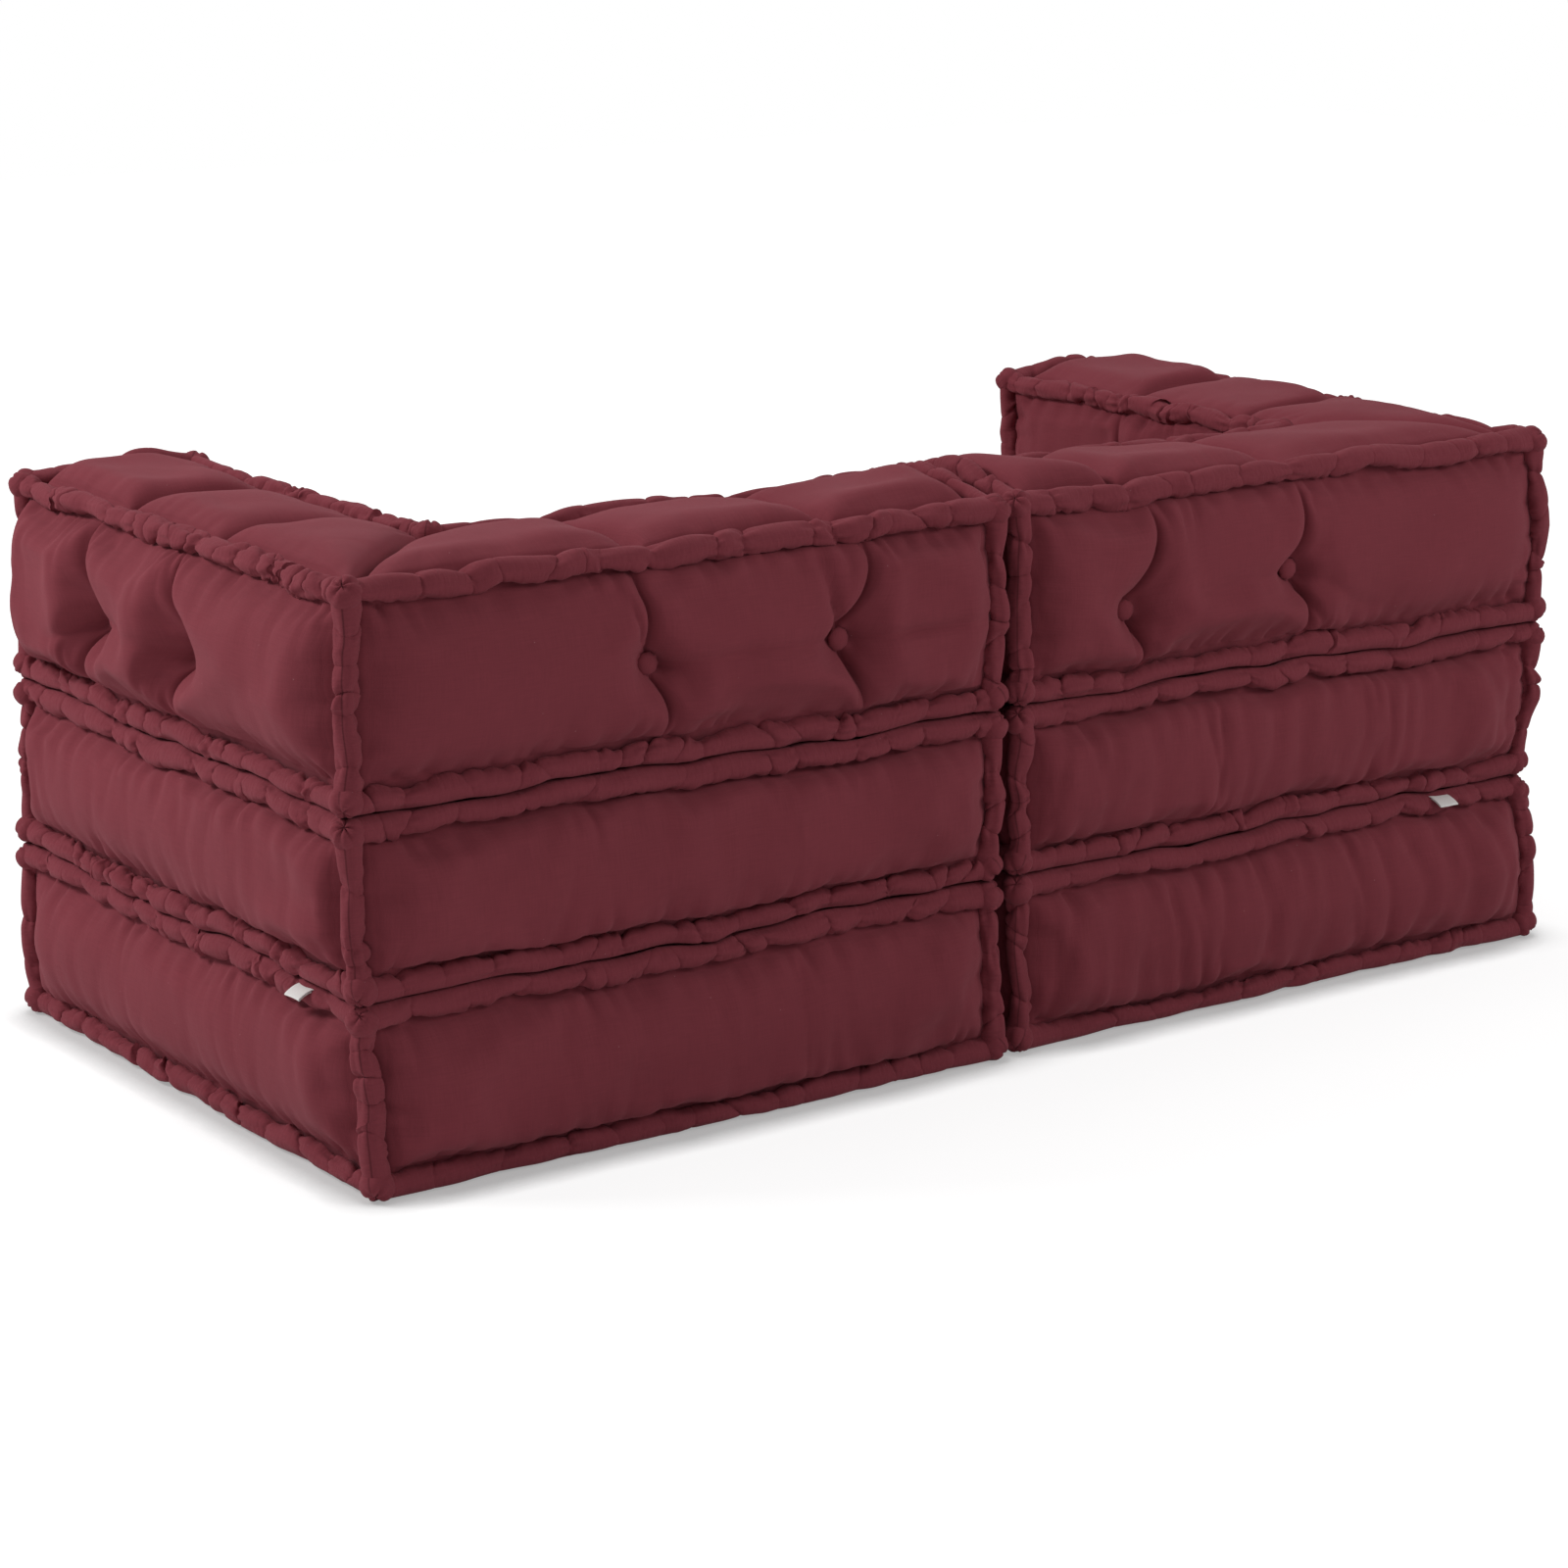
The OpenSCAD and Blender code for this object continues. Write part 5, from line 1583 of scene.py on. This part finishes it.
def build_weave(nodes, come, go):
    """Plain weave: two sets of threads as sines of U and V, each over and under in turn.

    Slubs, which are noise stretched along the threads, and uneven dye turn its tone.
    """
    thread = nodes.maths("DIVIDE", math.pi, come["Pitch"])
    split = nodes.add("SeparateXYZ", {0: come["Vector"]}).outputs
    su, sv = (nodes.maths("SINE", nodes.maths("MULTIPLY", split[n], thread)) for n in (0, 1))
    over = nodes.maths("MULTIPLY", su, sv)
    warp = nodes.maths("MULTIPLY", nodes.maths("ABSOLUTE", su), nodes.maths("ADD", 1.0, over))
    weft = nodes.maths("MULTIPLY", nodes.maths("ABSOLUTE", sv), nodes.maths("SUBTRACT", 1.0, over))
    threads = nodes.maths("MULTIPLY", nodes.maths("MAXIMUM", warp, weft), 0.5)
    slubs = [nodes.noise(nodes.stretch(come["Vector"], scale), 38.0, 3.0)
             for scale in ((1.0, 24.0, 1.0), (24.0, 1.0, 1.0))]
    slub = nodes.maths("MULTIPLY", nodes.maths("ADD", *slubs), 0.5)
    tone = 1.0
    for part, amount in ((slub, 0.50), (nodes.noise(come["Vector"], 7.0, 4.0), 0.22), (threads, 0.16)):
        tone = nodes.maths("MULTIPLY_ADD", nodes.maths("SUBTRACT", part, 0.5), amount, tone)
    nodes.put(tone, go["Tone"])
    nodes.put(nodes.maths("MULTIPLY_ADD", slub, 0.6, threads), go["Height"])


def build_lint(nodes, come, go):
    """Sparse specks of lint: cells whose random value passes a limit, cut to small round dots."""
    scaled = nodes.add("VectorMath", {0: come["Vector"], "Scale": come["Density"]}, operation="SCALE")
    cells = nodes.add("TexVoronoi", {"Vector": scaled.outputs[0], "Scale": 1.0}).outputs
    rare = nodes.add("SeparateColor", {0: cells["Color"]}).outputs[0]
    chosen = nodes.maths("GREATER_THAN", rare, 0.93)
    dot = nodes.maths("LESS_THAN", cells["Distance"], 0.055)
    nodes.put(nodes.maths("MULTIPLY", chosen, dot), go["Mask"])


def new_material(name, colour, values):
    """A material with its colour in the viewport and its shader's plain values, and its nodes."""
    material = bpy.data.materials.new(name)
    material.use_nodes = True
    material.diffuse_color = (*colour, 1.0)
    shader = material.node_tree.nodes["Principled BSDF"]
    for label, value in values.items():
        shader.inputs[label].default_value = value
    return material, Nodes(material.node_tree), shader


LINT_DENSITY = 110.0
LINT_COLOUR = (0.42, 0.22, 0.24, 1.0)
# The seam line's half width and where it has faded out, in metres, and how dark it is
SEAM_LINE, SEAM_FADED, SEAM_SHARE, SEAM_TONE = 0.0005, 0.0013, 0.55, 0.3


def cotton_material(name, colour, seamed):
    """Matte burgundy cotton.

    The weave turns the colour and the bump, lint speckles it, and a low sheen stands for its fuzz. A
    seamed cloth has a dark line along its seam and small gathers across the roll.
    """
    scene = bpy.context.scene
    material, nodes, shader = new_material(name, colour, {
        "Specular IOR Level": 0.12, "Sheen Weight": 0.06, "Sheen Roughness": 0.55,
        "Sheen Tint": (0.9, 0.55, 0.6, 1.0)})
    uv = nodes.add("UVMap", uv_map="cloth").outputs[0]
    weave = nodes.add("Group", {"Vector": uv, "Pitch": scene.sofa_cloth.thread_pitch}, node_tree=node_group(
        "cotton_weave", {"Vector": "NodeSocketVector", "Pitch": "NodeSocketFloat"}, ("Tone", "Height"),
        build_weave)).outputs
    lint = nodes.add("Group", {"Vector": uv, "Density": LINT_DENSITY}, node_tree=node_group(
        "lint_specks", {"Vector": "NodeSocketVector", "Density": "NodeSocketFloat"}, ("Mask",),
        build_lint)).outputs
    grey = nodes.add("CombineColor", dict.fromkeys(range(3), weave["Tone"])).outputs[0]
    dyed = nodes.blend(1.0, (*colour, 1.0), grey, "MULTIPLY")
    shade = nodes.blend(nodes.maths("MULTIPLY", lint["Mask"], 0.5), dyed, LINT_COLOUR)
    if seamed:
        girth = 2 * math.pi * scene.sofa_sizes.roll_radius
        near = nodes.maths("PINGPONG", nodes.add("SeparateXYZ", {0: uv}).outputs[1], girth / 2)
        line = nodes.remap(near, SEAM_LINE, SEAM_FADED, SEAM_SHARE, 0.0)
        shade = nodes.blend(line, shade, (*(SEAM_TONE * c for c in colour), 1.0))
    nodes.put(shade, shader.inputs["Base Color"])
    nodes.put(nodes.maths("MULTIPLY_ADD", weave["Height"], 0.08, 0.84), shader.inputs["Roughness"])
    # Soft rumples in the cloth, a few millimetres to a few centimetres across
    spot = nodes.add("TexCoord").outputs["Object"]
    rumple = nodes.noise(spot, 38.0 if seamed else 16.0, 5.0, 0.6)
    surface = nodes.bump(rumple, 0.35, 0.004, nodes.bump(weave["Height"], 0.30, 0.0004))
    if seamed:
        # Small gathers across the roll: noise that is fine along the roll and coarse round it
        gather = nodes.noise(nodes.stretch(uv, (1.0, 0.22, 1.0)), 210.0, 2.0, 0.4)
        surface = nodes.bump(gather, 0.5, 0.0022, surface)
    nodes.put(surface, shader.inputs["Normal"])
    return material


def plain_cloth(name, colour, scale, rough, bump):
    """A matte finish of fibres: fine noise for colour, roughness and bump, read from Object coordinates."""
    material, nodes, shader = new_material(name, colour, {"Specular IOR Level": 0.2})
    fibres = nodes.noise(nodes.add("TexCoord").outputs["Object"], scale, 5.0)
    dark, light = ((*(min(1.0, c * gain) for c in colour), 1.0) for gain in (0.86, 1.08))
    nodes.put(nodes.blend(fibres, dark, light), shader.inputs["Base Color"])
    nodes.put(nodes.maths("MULTIPLY_ADD", fibres, 0.15, rough), shader.inputs["Roughness"])
    nodes.put(nodes.bump(fibres, bump, 0.0006), shader.inputs["Normal"])
    return material


# Studio

# Half the floor's width, how far it lies under the object, and its points along a side, in metres
FLOOR_REACH, FLOOR_DROP, FLOOR_POINTS = 9.0, 0.0006, 13
# Each lamp's share of the key light's power, size, place and target
LAMPS = {
    "key_softbox": (1.0, 1.0, (2.9, -1.4, 2.55), (0.2, 0.0, 0.25)),
    "fill_softbox": (0.45, 1.6, (-2.0, 2.8, 2.4), (-0.1, 0.2, 0.25)),
    "top_softbox": (0.13, 1.0, (-0.5, -0.6, 3.2), (0.0, 0.0, 0.3)),
}
CAMERA_PLACE, CAMERA_DIRECTION = (2.1928, 3.0798, 1.1751), (-0.5569, -0.7926, -0.2485)
WHITE = (1.0, 1.0, 1.0, 1.0)
# What the camera sees of the floor: its diffuse grey, and its glow from under the object outwards
SHOWN_GREY, GLOW_START, GLOW_END, GLOW_LOW = (0.36, 0.36, 0.36, 1.0), 0.8, 2.2, 0.82
# Its narrow painted shadow, drawn by an occlusion node that dims the glow beside the object: reach, samples,
# the openness at which it is darkest, and how dark it is there
CONTACT_REACH, CONTACT_SAMPLES, CONTACT_OPEN, CONTACT_LOW = 0.05, 8, 0.5, 0.4


def aimed(name, data, at, direction):
    """An object that looks along a direction."""
    item = bpy.data.objects.new(name, data)
    item.location = at
    item.rotation_mode = "QUATERNION"
    item.rotation_quaternion = Vector(direction).to_track_quat("-Z", "Y")
    bpy.context.scene.collection.objects.link(item)
    return item


def show_instead(nodes, first, second, out):
    """Gives out the first shader, and the second to rays that show the surface to the eye.

    Those are camera, glossy and transmission rays.
    """
    path = nodes.add("LightPath").outputs
    seen = nodes.maths("MAXIMUM", path["Is Camera Ray"], path["Is Glossy Ray"])
    seen = nodes.maths("MAXIMUM", seen, path["Is Transmission Ray"])
    nodes.put(nodes.add("MixShader", {0: seen, 1: first, 2: second}).outputs[0], out)


def floor_material(colour):
    """A pale floor, white where it is lit evenly.

    It has a faint soft shadow from the lamps, and a narrow painted shadow beside what stands on it, where an
    occlusion node dims its glow.
    """
    material = bpy.data.materials.new("studio_floor")
    material.use_nodes = True
    nodes = Nodes(material.node_tree)
    shader, output = (material.node_tree.nodes[name] for name in ("Principled BSDF", "Material Output"))
    for label, value in (("Base Color", (*colour, 1.0)), ("Roughness", 0.9), ("Specular IOR Level", 0.0)):
        shader.inputs[label].default_value = value
    spot = nodes.add("TexCoord").outputs["Object"]
    far = nodes.add("VectorMath", {0: spot}, operation="LENGTH").outputs["Value"]
    # Painted shadow: the occlusion node dims the floor's glow beside the object, so the floor is darker where
    # shade falls
    painted_contact_shadow = nodes.add("AmbientOcclusion", {"Distance": CONTACT_REACH}, samples=CONTACT_SAMPLES)
    strength = nodes.maths("MULTIPLY", nodes.remap(far, GLOW_START, GLOW_END, GLOW_LOW, 1.0),
                           nodes.remap(painted_contact_shadow.outputs["AO"], CONTACT_OPEN, 1.0, CONTACT_LOW, 1.0))
    glow = nodes.add("Emission", {"Color": WHITE, "Strength": strength}).outputs[0]
    shown = nodes.add("BsdfDiffuse", {"Color": SHOWN_GREY}).outputs[0]
    both = nodes.add("AddShader", {0: shown, 1: glow}).outputs[0]
    show_instead(nodes, shader.outputs[0], both, output.inputs["Surface"])
    return material


class SOFA_OT_studio(bpy.types.Operator):
    """Make the pale floor, the soft light and the camera"""

    bl_idname = "sofa.studio"
    bl_label = "Studio"

    def execute(self, context):
        scene, look = context.scene, context.scene.sofa_studio
        scene.view_settings.view_transform = "Standard"
        line = np.linspace(-FLOOR_REACH, FLOOR_REACH, FLOOR_POINTS)
        points = np.stack(np.meshgrid(line, line, -FLOOR_DROP), -1).reshape(-1, 3)
        mesh = bpy.data.meshes.new("studio_floor")
        mesh.from_pydata(points.tolist(), [], grid_faces(FLOOR_POINTS, FLOOR_POINTS).tolist())
        mesh.update()
        floor = bpy.data.objects.new("studio_floor", mesh)
        scene.collection.objects.link(floor)
        mesh.materials.append(floor_material(look.floor_colour))
        self.room(scene, look)
        for name, (share, size, at, towards) in LAMPS.items():
            lamp = bpy.data.lights.new(name, "AREA")
            lamp.energy, lamp.size = look.key_power * share, size
            aimed(name, lamp, at, Vector(towards) - Vector(at))
        camera = bpy.data.cameras.new("photo_camera")
        camera.lens, camera.sensor_width = look.lens, 36.0
        camera.clip_start, camera.clip_end = 0.1, 60.0
        scene.camera = aimed("photo_camera", camera, CAMERA_PLACE, CAMERA_DIRECTION)
        return {"FINISHED"}

    def room(self, scene, look):
        """Even light from the room, which the camera sees as white."""
        world = bpy.data.worlds.new("studio_room")
        world.use_nodes = True
        scene.world = world
        nodes = Nodes(world.node_tree)
        light, output = (world.node_tree.nodes[name] for name in ("Background", "World Output"))
        light.inputs["Color"].default_value = WHITE
        light.inputs["Strength"].default_value = look.sky_strength
        white = nodes.add("Background", {"Color": WHITE, "Strength": 1.0}).outputs[0]
        show_instead(nodes, light.outputs[0], white, output.inputs["Surface"])


class SOFA_PT_panel(bpy.types.Panel):
    """Sidebar panel that lists the steps and the sizes."""

    bl_idname = "SOFA_PT_panel"
    bl_label = "Modular sofa"
    bl_space_type = "VIEW_3D"
    bl_region_type = "UI"
    bl_category = "Sofa"

    def draw(self, context):
        for operator in STEPS:
            self.layout.operator(operator.bl_idname)
        for name, group in GROUPS.items():
            box = self.layout.box()
            for setting in group.__annotations__:
                box.prop(getattr(context.scene, name), setting)


STEPS = (SOFA_OT_studio, SOFA_OT_covers, SOFA_OT_edge_rolls, SOFA_OT_tufts, SOFA_OT_cores, SOFA_OT_labels)
GROUPS = {
    "sofa_sizes": CushionSizes, "sofa_tufts": TuftPlaces,
    "sofa_cloth": ClothFinish, "sofa_studio": StudioLook,
}


def register():
    for cls in (*GROUPS.values(), *STEPS, SOFA_PT_panel):
        bpy.utils.register_class(cls)
    for name, cls in GROUPS.items():
        setattr(bpy.types.Scene, name, bpy.props.PointerProperty(type=cls))


def unregister():
    for name in GROUPS:
        delattr(bpy.types.Scene, name)
    for cls in reversed((*GROUPS.values(), *STEPS, SOFA_PT_panel)):
        bpy.utils.unregister_class(cls)


def main():
    register()
    for step in STEPS:
        group, name = step.bl_idname.split(".")
        getattr(getattr(bpy.ops, group), name)()


if __name__ == "__main__":
    main()
